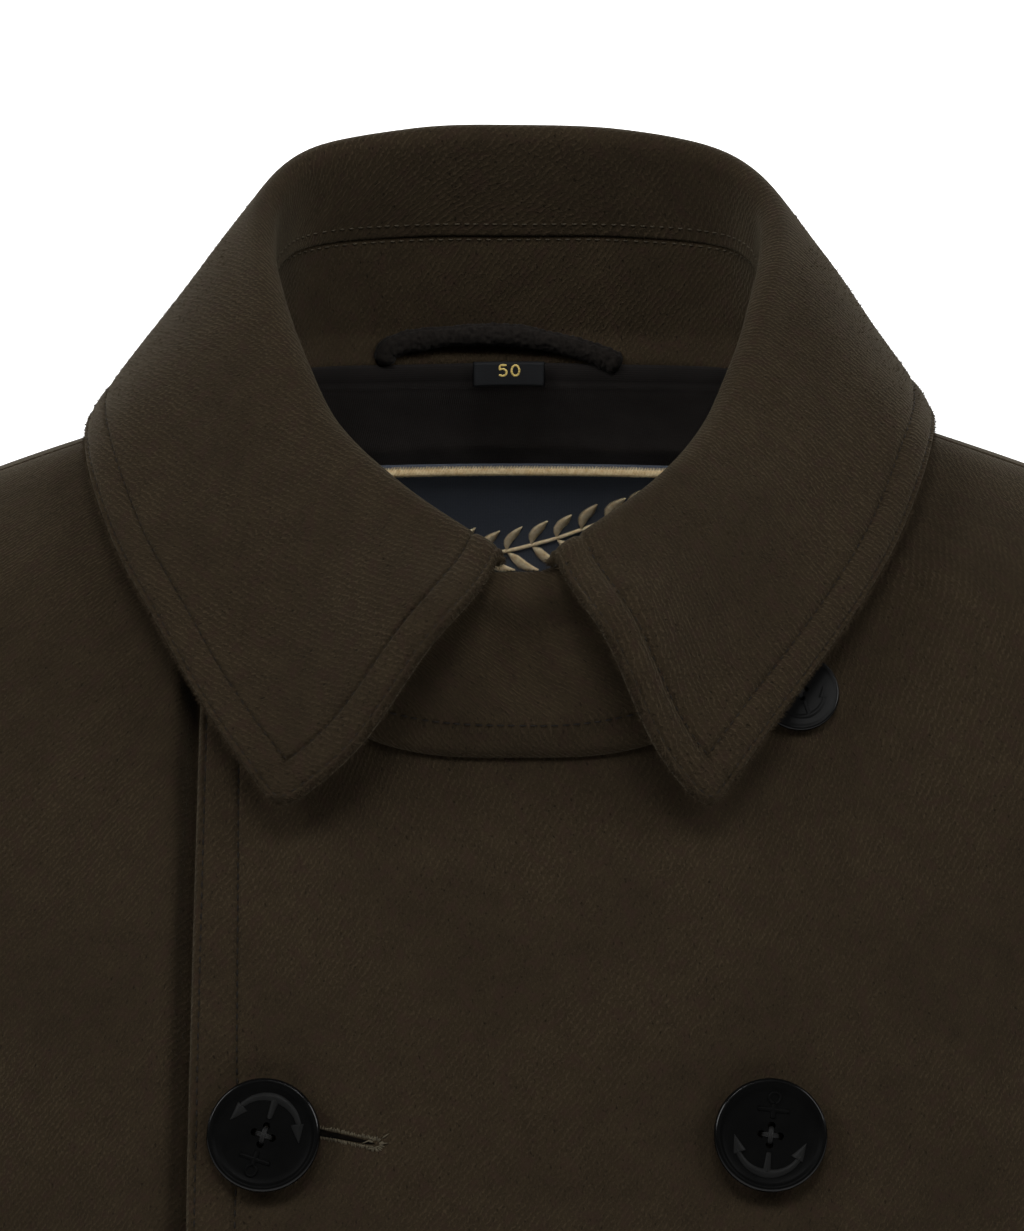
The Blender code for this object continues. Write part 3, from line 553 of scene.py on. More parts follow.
def sums(tree, first, *rest):
    """first + each (weight, output) of the rest."""
    out = first
    for weight, value in rest:
        node = add(tree, "ShaderNodeMath", operation="MULTIPLY_ADD")
        tree.links.new(value, node.inputs[0])
        node.inputs[1].default_value = weight
        if hasattr(out, "is_output"):
            tree.links.new(out, node.inputs[2])
        else:
            node.inputs[2].default_value = out
        out = node.outputs[0]
    return out


def noise(tree, vector, scale, detail=2.0, rough=0.5, dims="3D"):
    node = add(tree, "ShaderNodeTexNoise", noise_dimensions=dims)
    feed(tree, node, Vector=vector, Scale=scale, Detail=detail, Roughness=rough)
    return node.outputs["Fac"]


def mapped(tree, vector, turn=0.0, scale=(1, 1, 1)):
    node = add(tree, "ShaderNodeMapping")
    feed(tree, node, Vector=vector, Rotation=(0, 0, turn), Scale=scale)
    return node.outputs["Vector"]


def two_tone(tree, low, high, factor):
    node = add(tree, "ShaderNodeMix", data_type="RGBA", clamp_factor=True)
    colour = [s for s in node.inputs if s.type == "RGBA"]
    colour[0].default_value, colour[1].default_value = low, high
    tree.links.new(factor, [s for s in node.inputs if s.name == "Factor" and s.type == "VALUE"][0])
    return [s for s in node.outputs if s.type == "RGBA"][0]


def shade(colour, by):
    return tuple(min(1.0, c * by) for c in colour[:3]) + (1.0,)


WOOL_TONE = (0.0225, 0.0157, 0.0090)


def ramp(tree, value, low, high, to_low=0.0, to_high=1.0):
    node = add(tree, "ShaderNodeMapRange")
    feed(tree, node, Value=value, From_Min=low, From_Max=high, To_Min=to_low, To_Max=to_high)
    return node.outputs["Result"]


def times(tree, first, second):
    node = add(tree, "ShaderNodeMath", operation="MULTIPLY")
    tree.links.new(first, node.inputs[0])
    tree.links.new(second, node.inputs[1])
    return node.outputs[0]


def blended(tree, colour, other, factor):
    """colour, turned towards a fixed other one by the factor."""
    node = add(tree, "ShaderNodeMix", data_type="RGBA", clamp_factor=True)
    sockets = [q for q in node.inputs if q.type == "RGBA"]
    tree.links.new(colour, sockets[0])
    sockets[1].default_value = other
    tree.links.new(factor, [q for q in node.inputs if q.name == "Factor" and q.type == "VALUE"][0])
    return [q for q in node.outputs if q.type == "RGBA"][0]


def wool(name, twill_deg, fleck=0.30, tone=WOOL_TONE, pitch=0.00155, sheen=0.10):
    """Napped wool twill: broken, slanted rows of light flecks, small pits and a soft mottle."""
    mat, tree, skin = nodes_of(name)
    uv = add(tree, "ShaderNodeUVMap", uv_map="weave").outputs["UV"]
    turn = -math.radians(twill_deg + 90)
    across = mapped(tree, uv, turn)
    wave = add(tree, "ShaderNodeTexWave", wave_type="BANDS", bands_direction="X", wave_profile="SIN")
    feed(tree, wave, Vector=across, Scale=math.pi / 10 / pitch, Distortion=5.2, Detail=2.0,
         Detail_Scale=1.5, Detail_Roughness=0.75)
    ridge = wave.outputs["Fac"]
    nap = noise(tree, mapped(tree, uv, turn, (1500, 800, 1)), 1.0, 2.0, 0.6, "2D")
    hair = noise(tree, mapped(tree, uv, turn + 0.5, (2300, 700, 1)), 1.0, 2.0, 0.6, "2D")
    fibre = noise(tree, uv, 2400.0, 2.0, 0.7, "2D")
    cloud = noise(tree, uv, 120.0, 3.0, 0.6, "2D")
    wide = noise(tree, uv, 22.0, 2.0, 0.5, "2D")
    show = ramp(tree, wide, 0.36, 0.62, 0.35, 1.0)
    light = times(tree, ramp(tree, times(tree, ridge, nap), 0.34, 0.60), show)
    strand = ramp(tree, hair, 0.60, 0.78)
    pit = ramp(tree, noise(tree, mapped(tree, uv, turn, (1150, 620, 1)), 1.0, 2.0, 0.5, "2D"), 0.335, 0.235)
    hue = noise(tree, uv, 210.0, 2.0, 0.5, "2D")
    factor = sums(tree, -0.62, (1.00, fibre), (0.50, cloud), (0.35, wide), (0.40, nap))
    colour = two_tone(tree, shade((tone[0], tone[1] * 0.97, tone[2] * 1.08), 0.52), shade((tone[0], tone[1] * 1.04, tone[2] * 0.98), 1.36), factor)
    colour = blended(tree, colour, shade((tone[0], tone[1] * 1.02, tone[2] * 1.10), 2.5), sums(tree, 0.0, (fleck, light)))
    colour = blended(tree, colour, shade(tone, 2.3), sums(tree, 0.0, (0.30, strand)))
    colour = blended(tree, colour, shade((tone[0] * 1.06, tone[1] * 0.90, tone[2] * 1.10), 1.0), ramp(tree, hue, 0.52, 0.72, 0.0, 0.55))
    colour = blended(tree, colour, shade(tone, 0.26), sums(tree, 0.0, (0.78, pit)))
    tree.links.new(colour, skin.inputs["Base Color"])
    height = sums(tree, 0.0, (0.20, ridge), (0.45, nap), (0.30, light), (0.30, fibre), (0.25, strand), (-0.45, pit))
    bump = add(tree, "ShaderNodeBump")
    feed(tree, bump, Strength=0.8, Distance=0.00045, Height=height)
    tree.links.new(bump.outputs["Normal"], skin.inputs["Normal"])
    feed(tree, skin, Roughness=0.92, Specular_IOR_Level=0.04, Sheen_Weight=sheen, Sheen_Roughness=0.45,
         Sheen_Tint=(0.95, 0.84, 0.60, 1.0))
    return mat


def plain_weave(name, tone, thread, rough, spec, depth, sheen=0.0, contrast=0.25, top_shade=0.0):
    """Fine crossed threads, for linings and woven labels; a lining's top can be painted darker, as painted shade."""
    mat, tree, skin = nodes_of(name)
    uv = add(tree, "ShaderNodeUVMap", uv_map="weave").outputs["UV"]
    warp = add(tree, "ShaderNodeTexWave", wave_type="BANDS", bands_direction="X")
    weft = add(tree, "ShaderNodeTexWave", wave_type="BANDS", bands_direction="Y")
    for one in (warp, weft):
        feed(tree, one, Vector=uv, Scale=math.pi / 10 / thread, Distortion=0.7, Detail=1.0)
    grit = noise(tree, uv, 1700.0, 2.0, 0.6, "2D")
    cloud = noise(tree, uv, 90.0, 3.0, 0.6, "2D")
    factor = sums(tree, -0.30, (0.30, warp.outputs["Fac"]), (0.30, weft.outputs["Fac"]), (0.6, grit), (0.5, cloud))
    colour = two_tone(tree, shade(tone, 1 - contrast), shade(tone, 1 + contrast), factor)
    # painted shade: the lining's top is darkened nearly to black, fully over its top 4.8 mm and fading out by 10.5 mm,
    # for the shade under the stand's lower edge
    if top_shade:
        split = add(tree, "ShaderNodeSeparateXYZ")
        tree.links.new(uv, split.inputs[0])
        colour = blended(tree, colour, shade(tone, 0.08), ramp(tree, split.outputs["Y"], -0.0105, -0.0048, 0.0, top_shade))
    tree.links.new(colour, skin.inputs["Base Color"])
    height = sums(tree, 0.0, (0.5, warp.outputs["Fac"]), (0.5, weft.outputs["Fac"]), (0.4, grit))
    bump = add(tree, "ShaderNodeBump")
    feed(tree, bump, Strength=0.6, Distance=depth, Height=height)
    tree.links.new(bump.outputs["Normal"], skin.inputs["Normal"])
    feed(tree, skin, Roughness=rough, Specular_IOR_Level=spec, Sheen_Weight=sheen, Sheen_Roughness=0.4)
    return mat


def thread_finish(name, low, high, rough=0.65, spec=0.2, scale=900.0, sheen=0.0):
    """Spun thread: two tones over its length and a fine twist."""
    mat, tree, skin = nodes_of(name)
    where = add(tree, "ShaderNodeTexCoord").outputs["Object"]
    patch = noise(tree, where, scale, 2.0, 0.6)
    fine = noise(tree, where, scale * 5, 1.0, 0.6)
    factor = sums(tree, -0.55, (1.5, patch), (0.6, fine))
    tree.links.new(two_tone(tree, low + (1.0,), high + (1.0,), factor), skin.inputs["Base Color"])
    bump = add(tree, "ShaderNodeBump")
    feed(tree, bump, Strength=0.5, Distance=0.00012, Height=fine)
    tree.links.new(bump.outputs["Normal"], skin.inputs["Normal"])
    feed(tree, skin, Roughness=rough, Specular_IOR_Level=spec, Sheen_Weight=sheen)
    return mat


def horn(name, by=1.0, gloss=0.06, rough=0.16):
    """Polished black button: faint cloud in the colour, fine scratches in the gloss."""
    mat, tree, skin = nodes_of(name)
    where = add(tree, "ShaderNodeTexCoord").outputs["Object"]
    cloud = noise(tree, where, 160.0, 3.0, 0.6)
    fine = noise(tree, where, 1500.0, 2.0, 0.6)
    tree.links.new(two_tone(tree, shade((0.0013, 0.0013, 0.0013), by), shade((0.0027, 0.0027, 0.0026), by), cloud),
                   skin.inputs["Base Color"])
    tree.links.new(sums(tree, rough, (0.10, fine), (0.08, cloud)), skin.inputs["Roughness"])
    bump = add(tree, "ShaderNodeBump")
    feed(tree, bump, Strength=0.15, Distance=0.0001, Height=fine)
    tree.links.new(bump.outputs["Normal"], skin.inputs["Normal"])
    feed(tree, skin, Specular_IOR_Level=gloss)
    return mat


FRONT_WOOL = wool("wool_front", 52, 0.42)
BACK_WOOL = wool("wool_back", 52)
SLEEVE_WOOL = wool("wool_sleeve", 52)
# painted light: the stand's wool is a copy of the body wool painted 1.12 times lighter, so the stand reads as more
# brightly lit
STAND_WOOL = wool("wool_stand", 50, 0.36, tuple(1.12 * c for c in WOOL_TONE))
FALL_WOOL = wool("wool_collar", 125.5, 0.50)
# the last argument paints shade along the lining's top
LINING = plain_weave("lining_cloth", (0.0680, 0.0605, 0.0570), 0.0006, 0.9, 0.02, 0.00010, 0.0, 0.45, 0.88)
LABEL = plain_weave("label_satin", (0.0790, 0.0900, 0.1130), 0.0005, 0.6, 0.05, 0.00008, 0.0, 0.22)
TAG = plain_weave("tag_satin", (0.0125, 0.0130, 0.0140), 0.00045, 0.6, 0.08, 0.00006, 0.0, 0.22)
DARK_THREAD = thread_finish("topstitch_thread", (0.0035, 0.0025, 0.0016), (0.0105, 0.0074, 0.0046))
SOFT_THREAD = thread_finish("collar_edge_thread", (0.0050, 0.0034, 0.0020), (0.0160, 0.0112, 0.0068))
TAN_THREAD = thread_finish("collar_thread", (0.022, 0.017, 0.010), (0.066, 0.053, 0.033))
HOLE_THREAD = thread_finish("buttonhole_thread", (0.030, 0.0235, 0.0140), (0.098, 0.083, 0.053))
GOLD_THREAD = thread_finish("gold_thread", (0.62, 0.41, 0.17), (0.97, 0.82, 0.54), 0.5, 0.3, 700.0)
SPRIG_THREAD = thread_finish("sprig_thread", (0.68, 0.48, 0.23), (0.96, 0.84, 0.60), 0.4, 0.5, 700.0)
NUMBER_THREAD = thread_finish("number_thread", (0.50, 0.36, 0.10), (0.75, 0.58, 0.20), 0.5, 0.3, 700.0)
CHARCOAL = thread_finish("loop_wool", (0.0040, 0.0034, 0.0030), (0.0185, 0.0158, 0.0135), 0.95, 0.03, 900.0, 0.03)
# painted shade: a near-black strip laid over each buttonhole's cut stands for the shade in the slit
SLIT_SHADE = thread_finish("buttonhole_slit_shade", (0.0015, 0.0012, 0.0010), (0.0045, 0.0035, 0.0025), 0.95, 0.02)
BUTTON = horn("black_horn", 1.25, 0.018, 0.30)
SMALL_HORN = horn("small_button_horn", 2.1, 0.05, 0.30)
BUTTON_THREAD = thread_finish("button_thread", (0.0025, 0.0024, 0.0022), (0.0068, 0.0065, 0.0061))
# painted highlight: the anchor's arms, flukes and lower shank are painted 4.6 times lighter than the button, for the
# light the polished relief catches
ANCHOR_GLINT = horn("anchor_painted_glint", 4.6, 0.03, 0.30)
RIM = horn("polished_rim", 1.0, 0.20, 0.06)
FUZZ = thread_finish("wool_fibres", (0.0240, 0.0172, 0.0102), (0.0540, 0.0405, 0.0255), 0.95, 0.02, 500.0)


def piece(obj, slot, *nodes):
    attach(obj, "root")
    if nodes:
        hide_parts(*nodes)
    return obj


# ------------------------------------------------------------- body panels
PER = 12


def seam_shift(p, way):
    return p + np.array([0.0, way * SEAM, 0.0])


def side_line(way):
    z = np.linspace(HEM_Z, ARMPIT_Z, SIDE_ROWS * PER + 1)
    side = seam_shift(vec(section(z)[0], 0.0, z), way)
    turn = np.linspace(math.pi, 0.0, ARM_ROWS * PER + 1)[1:]
    arm = armhole_point(turn if way < 0 else -turn)
    arm[-1] = seam_shift(arm[-1], way)
    return np.concatenate([side, arm])


def shoulder_line(way):
    x = np.linspace(NECK_HALF, section(SHOULDER_Z)[0], SHOULDER_COLS * PER + 1)
    return seam_shift(top_point(x, 0.0), way)


def neck_line(first, last, count):
    return settle(evened(neck_point(np.linspace(first, last, 161)), count))


def front_edge_x(z):
    return FRONT_EDGE_TOP + (FRONT_EDGE_HEM - FRONT_EDGE_TOP) * (FRONT_CORNER_Z - z) / (FRONT_CORNER_Z - HEM_Z)


def relaxed(bottom, top, left, right, rounds=90):
    """Coarse grid between four lines, evened out while it lies on the form."""
    b, t, l, r = (line[::PER] for line in (bottom, top, left, right))
    m, n = len(b) - 1, len(l) - 1
    u, v = np.linspace(0, 1, m + 1)[:, None, None], np.linspace(0, 1, n + 1)[None, :, None]
    grid = (b[:, None] * (1 - v) + t[:, None] * v + l[None] * (1 - u) + r[None] * u
            - (b[0] * (1 - u) * (1 - v) + b[-1] * u * (1 - v) + t[0] * (1 - u) * v + t[-1] * u * v))
    grid[1:-1, 1:-1] = settle(grid[1:-1, 1:-1], 20)
    for _ in range(rounds):
        mean = (grid[:-2, 1:-1] + grid[2:, 1:-1] + grid[1:-1, :-2] + grid[1:-1, 2:]) / 4
        grid[1:-1, 1:-1] = settle(mean, 3)
    return grid


def along(line, at):
    """Points of a dense line at places counted in coarse steps."""
    k = np.arange(len(line)) / PER
    return np.stack([np.interp(at, k, line[:, q]) for q in range(3)], -1)


def filled(bottom, top, left, right, u, v):
    """Fine points of the panel between four lines, on the form."""
    grid = relaxed(bottom, top, left, right)
    m, n = grid.shape[0] - 1, grid.shape[1] - 1
    i, j = np.clip(u.astype(int), 0, m - 1), np.clip(v.astype(int), 0, n - 1)
    s, t = (u - i)[:, None, None], (v - j)[None, :, None]
    p = (grid[i][:, j] * (1 - s) * (1 - t) + grid[i + 1][:, j] * s * (1 - t)
         + grid[i][:, j + 1] * (1 - s) * t + grid[i + 1][:, j + 1] * s * t)
    fu, fv = (u / m)[:, None, None], (v / n)[None, :, None]
    for line, weight, at, axis in ((bottom, (1 - fv) ** 3, u, 0), (top, fv ** 3, u, 0),
                                   (left, (1 - fu) ** 3, v, 1), (right, fu ** 3, v, 1)):
        coarse = line[::PER]
        k = np.arange(len(coarse))
        straight = np.stack([np.interp(at, k, coarse[:, q]) for q in range(3)], -1)
        bend = along(line, at) - straight
        p = p + weight * (bend[:, None] if axis == 0 else bend[None])
    return settle(p, 8)


def row_places(total, hem, fine_from, fine_to, coarse_step, fine_step, unit_len):
    """Places of a panel's rows: close at the hem and the top, fine where it shows."""
    low = np.array(hem) / unit_len
    rest = np.arange(low[-1] + coarse_step / unit_len, fine_from, coarse_step / unit_len)
    fine = np.arange(fine_from, fine_to, fine_step / unit_len)
    end = total - np.array([0.003, 0.0016, 0.0008, 0.0003, 0.0]) / unit_len
    fine = fine[fine < end[0] - 0.3 * fine_step / unit_len]
    return np.concatenate([low, rest, fine, end])


HEM_MM = mm(0, 0.4, 0.9, 1.6, 2.5, 4, 7, 11)
EDGE_MM = mm(0, 0.25, 0.6, 1.0, 1.5, 2.0, 2.5, 3.0, 3.6, 4.6, 6.0, 7.6, 9.2, 10.4, 11.2, 11.55, 11.9, 12.25, 12.6, 13.4, 15.0)
SIDE_MM = mm(0, 0.4, 0.9, 1.6, 3.0)


def front_lines():
    half = STAND_MEET / 2
    near = neck_line(STAND_MEET, half, NECK_COLS * PER)
    ridge = shoulder_line(-1)
    near[-1] = ridge[0]
    far = flipped(neck_line(STAND_MEET, 0.74, (FAR_COLS - 1) * PER))
    corner = front_point(-front_edge_x(FRONT_CORNER_Z), FRONT_CORNER_Z)
    share = np.linspace(0, 1, PER + 1)[:-1, None]
    hidden = settle(corner * (1 - share) + far[-1] * share)
    top = np.concatenate([hidden, far[::-1][:-1], near, ridge[1:]])
    right = side_line(-1)
    z = np.linspace(HEM_Z, FRONT_CORNER_Z, len(right))
    left = front_point(-front_edge_x(z), z)
    w = np.linspace(0, 1, len(top))
    x = -FRONT_EDGE_HEM + (right[0, 0] + FRONT_EDGE_HEM) * np.sin(w * math.pi / 2) ** 0.9
    bottom = front_point(np.minimum(x, right[0, 0]), HEM_Z)
    bottom[0], bottom[-1] = left[0], right[0]
    return bottom, top, left, right


def front_grid():
    bottom, top, left, right = front_lines()
    cols, rows = (len(top) - 1) // PER, (len(left) - 1) // PER
    v = row_places(rows, HEM_MM, 10.9, rows, 0.0090, 0.0019, 0.0500)
    p = filled(bottom, top, left, right, np.linspace(0, cols, cols * 24 + 1), v)
    p = respaced(p, 0, EDGE_MM, 114, SIDE_MM)
    p[1:-1, 1:-1] = settle(p[1:-1, 1:-1], 4)
    return p


def borders(p):
    """Distances of the grid's points from its first, last, lowest and highest line."""
    a, b = lengths(p, 0), lengths(p, 1)
    return a, a[-1:] - a, b, b[:, -1:] - b


def edge_relief(d, first, second, roll=0.00055, band=0.00022):
    """Rolled edge, two sewn grooves and the plump band between them."""
    high = roll * ease(d / (first * 0.5)) * ease((first - d) / (first * 0.45))
    high = high + band * ease((d - first) / 0.0018) * ease((second - d) / 0.0020)
    return high - 0.00060 * groove(d, first, 0.00042) - 0.00090 * groove(d, second, 0.00050)


def pulled_in(x, z):
    """How far the sewn-on buttons draw the cloth in round them."""
    deep = 0.0
    for row in range(BUTTON_ROWS):
        level = BUTTON_TOP_Z - BUTTON_PITCH * row
        for way in (-1, 1):
            far = np.hypot(x - way * BUTTON_X, z - level)
            deep = deep + 0.0012 * np.exp(-(far / 0.0200) ** 2) + 0.0013 * ease((0.0225 - far) / 0.0075)
    return deep


def front_panel(name, flip):
    p = FRONT_P.copy()
    lead, side, hem, top = borders(p)
    n = normal_at(p)
    lean = EDGE_LEAN + EDGE_LEAN_LOW * np.clip((-0.085 - p[..., 2]) / 0.12, 0, 1)
    if not flip:
        ahead = unit(p[0] - p[12])
        p = p + ahead[None] * (lean * ease((0.018 - lead) / 0.018))[..., None]
    world_x = -p[..., 0] if flip else p[..., 0]
    swell = 0.00030 * uneven(world_x, p[..., 2], 0.055, 5 if flip else 3)
    swell = swell + creased(p[..., 0], p[..., 2], FRONT_CREASES, 0.85 if flip else 1.0)
    still = ease((p[..., 2] + 0.150) / 0.05)
    swell = swell * (1 - 0.6 * still) * ease(side / 0.010) * ease(lead / 0.030)
    if flip:
        edge = front_edge_x(np.minimum(p[..., 2], FRONT_CORNER_Z))
        below = np.maximum(ease((FRONT_CORNER_Z + 0.016 - p[..., 2]) / 0.014), ease(-p[..., 0] / 0.020))
        x = -p[..., 0]
        dip = ease((x + edge + lean + 0.0072) / 0.0062) * below
        tucked = CORNER_TUCK * ease((x - 0.045) / 0.030) * ease((p[..., 2] + 0.120) / 0.045)
        trough = 0.0024 * np.exp(-((x + edge + lean + 0.0012) / 0.0034) ** 2) * below
        swell = swell * (1 - dip) - (UNDERLAP + 0.0012) * dip - tucked - trough
    else:
        proud = 0.0026 * ease((0.018 - lead) / 0.017) * ease((-0.07 - p[..., 2]) / 0.02)
        swell = swell + proud - pulled_in(p[..., 0], p[..., 2])
    rise = np.minimum(np.minimum(round_off(lead, 0.0022), round_off(hem, 0.0024)),
                      np.minimum(round_off(side, 0.0014), round_off(top, 0.0012)))
    relief = edge_relief(lead, EDGE_STITCH, BAND_STITCH) * ease(hem / 0.004)
    relief = relief - 0.0004 * groove(hem, 0.030, 0.0012) * ease(lead / 0.01)
    outer = p + n * (swell + CLOTH * rise + relief)[..., None]
    inner = p + n * swell[..., None]
    uv = np.stack([lead, hem * 1.0], -1)
    if flip:
        outer, inner, n = flipped(outer), flipped(inner), flipped(n)
        uv[..., 0] *= -1
    obj = shell(name + "_cloth", outer, inner, uv, FRONT_WOOL)
    piece(obj, "wool", name)
    return obj, outer, n


FRONT_P = front_grid()
front_left, FL_OUT, FL_N = front_panel("front_left", False)
front_right, FR_OUT, FR_N = front_panel("front_right", True)


def back_grid():
    right = side_line(1)
    neck = neck_line(STAND_MEET / 2, -STAND_MEET / 2, BACK_NECK_COLS * PER)
    ridge = shoulder_line(1)
    top = np.concatenate([ridge[::-1], neck[1:-1], flipped(ridge)])
    w = np.linspace(0, 1, len(top))
    bottom = back_point(right[0, 0] * np.cos(math.pi * w), HEM_Z)
    bottom[0], bottom[-1] = right[0], flipped(right)[0]
    return bottom, top, right, flipped(right)


BACK_LINES = back_grid()
BACK_COLS, BACK_ROWS = (len(BACK_LINES[1]) - 1) // PER, (len(BACK_LINES[2]) - 1) // PER


def back_panel():
    v = row_places(BACK_ROWS, HEM_MM, 8.0, BACK_ROWS, 0.0085, 0.0055, 0.0560)
    p = filled(*BACK_LINES, np.linspace(0, BACK_COLS, BACK_COLS * 20 + 1), v)
    p = respaced(p, 0, SIDE_MM, 104, SIDE_MM)
    p[1:-1, 1:-1] = settle(p[1:-1, 1:-1], 4)
    first, last, hem, top = borders(p)
    n = normal_at(p)
    swell = 0.00045 * uneven(p[..., 0], p[..., 2], 0.070, 8) + creased(p[..., 0], p[..., 2], BACK_CREASES)
    swell = swell * ease(np.minimum(first, last) / 0.010) * ease(top / 0.02)
    rise = np.minimum(np.minimum(round_off(first, 0.0014), round_off(last, 0.0014)),
                      np.minimum(round_off(hem, 0.0024), round_off(top, 0.0012)))
    relief = -0.0004 * groove(hem, 0.030, 0.0012)
    outer = p + n * (swell + CLOTH * rise + relief)[..., None]
    inner = p + n * swell[..., None]
    mid = first - first[-1:] / 2
    obj = shell("back_cloth", outer, inner, np.stack([-mid, hem], -1), BACK_WOOL)
    piece(obj, "wool", "back")
    return obj, grid_area(p)


back, BACK_AREA = back_panel()

# ----------------------------------------------------------------- sleeves
RING = {name: Smooth(SLEEVE, name) for name in Ring._fields[1:]}


def ring_point(share, turn):
    r = {name: curve(share) for name, curve in RING.items()}
    c, s = np.cos(turn), np.sin(turn)
    x = (r["out_x"] + r["in_x"]) / 2 + (r["out_x"] - r["in_x"]) / 2 * c
    z = (r["out_z"] + r["in_z"]) / 2 + (r["out_z"] - r["in_z"]) / 2 * c
    return vec(x, r["mid_y"] - r["depth"] * s, z)


ARMHOLE_HEART = armhole_point(np.linspace(-math.pi, math.pi, 72, endpoint=False)).mean(axis=0)


def sleeve_point(share, turn):
    edge = armhole_point(turn)
    under = np.maximum(0.0, -np.cos(turn)) ** 2
    out = normal_at(edge)
    # the sleeve head laps a little over the body's edge, so that no light comes through the seam
    over = edge - ARMHOLE_HEART
    over = unit(over - out * np.sum(over * out, -1, keepdims=True))
    edge = edge + over * (0.0024 * (1 - under))[..., None]
    edge = edge + out * (CLOTH + GAP + 0.0011 + under * (CLOTH + 0.0004))[..., None]
    return ring_point(share, turn) + (edge - ring_point(np.zeros_like(share), turn)) * (1 - ease(share / 0.30))[..., None]


def sleeve(name, side):
    turn = np.linspace(-math.pi, math.pi, 108, endpoint=False)
    share = np.linspace(0, 1, 261)
    p = sleeve_point(*np.broadcast_arrays(share[None], turn[:, None]))
    p = respaced(p, 1, mm(0, 0.4, 0.9, 1.6, 2.6, 4.0), 106, mm(0, 0.4, 0.9, 1.6, 2.5, 4.0))
    n = grid_normals(p, wrap=True)
    heart = p.mean(axis=0, keepdims=True)
    if np.sum(n * (p - heart)) < 0:
        n = -n
    down = lengths(p, 1)
    up = down[:, -1:] - down
    swell = 0.0004 * uneven(np.sin(turn)[:, None] * 0.08 + down * 0.2, down + np.cos(turn)[:, None] * 0.05, 0.06, 21)
    for c in SLEEVE_CREASES:
        mid = math.radians((c.a_x + c.b_x) / 2 + (0 if side > 0 else 9))
        away = (np.angle(np.exp(1j * (turn - mid))) * 0.078)[:, None]
        half = math.radians(c.b_x - c.a_x) * 0.039
        shift = 0.0 if side > 0 else 0.012
        one = Crease(-half, c.a_z + shift, half, c.b_z + shift, c.bow, c.depth, c.width)
        swell = swell + creased(away, down, (one,), 1.0 if side > 0 else 0.88)
    swell = swell * ease(down / 0.03) * ease((up - 0.012) / 0.05)
    swell = swell - 0.0012 * ease((0.010 - down) / 0.010) + 0.0016 * ease(down / 0.012) * ease((0.055 - down) / 0.043)
    rise = np.minimum(round_off(down, 0.0016), round_off(up, 0.0024))
    relief = -0.0004 * groove(up, 0.032, 0.0012)
    outer = p + n * (swell + CLOTH * rise + relief)[..., None]
    inner = p + n * swell[..., None]
    round_len = np.broadcast_to((turn * 0.075)[:, None], down.shape)
    uv = np.stack([round_len, -down], -1)
    if side < 0:
        outer, inner = flipped(outer), flipped(inner)
        uv = uv * np.array([-1.0, 1.0])
    obj = shell(name + "_cloth", outer, inner, uv, SLEEVE_WOOL, wrap=True)
    piece(obj, "wool", name)
    return obj, grid_area(p, wrap=True)


sleeve_left, SLEEVE_AREA = sleeve("sleeve_left", 1.0)
sleeve_right, _ = sleeve("sleeve_right", -1.0)


# ------------------------------------------------------------ collar stand
def layer(station):
    return ease((np.abs(station) - 0.72) / 0.20) * np.where(station > 0, 1.0, -1.0)


def stand_edges(station):
    station = np.asarray(station, float)
    s, side = np.abs(station), np.where(station >= 0, 1.0, -1.0)
    past = s > STAND_MEET
    s, side = np.where(past, 2 * STAND_MEET - s, s), np.where(past, -side, side)
    low = neck_point(np.minimum(s, STAND_MEET))
    up = layer(station)
    low = low + normal_at(low) * (CLOTH + NECK_LAP + np.minimum(0.0, up) * UNDERLAP)[..., None]
    low[..., 2] += 0.0022 * np.maximum(0.0, -up) + SEAM_RISE * ease(1 - np.abs(s - STAND_MEET / 2) / 0.14)
    high = swept(STAND_TOP, ("x", "y", "z"), np.minimum(s, 1.0))
    high[..., 0] *= np.where(s > 1.0, (STAND_MEET - s) / (STAND_MEET - 1.0), 1.0)
    out = unit(high * np.array([1.0, 1.0, 0.0]))
    high = high + out * (STAND_LAP * up)[..., None]
    for p in (low, high, out):
        p[..., 0] *= side
    return low, high, out


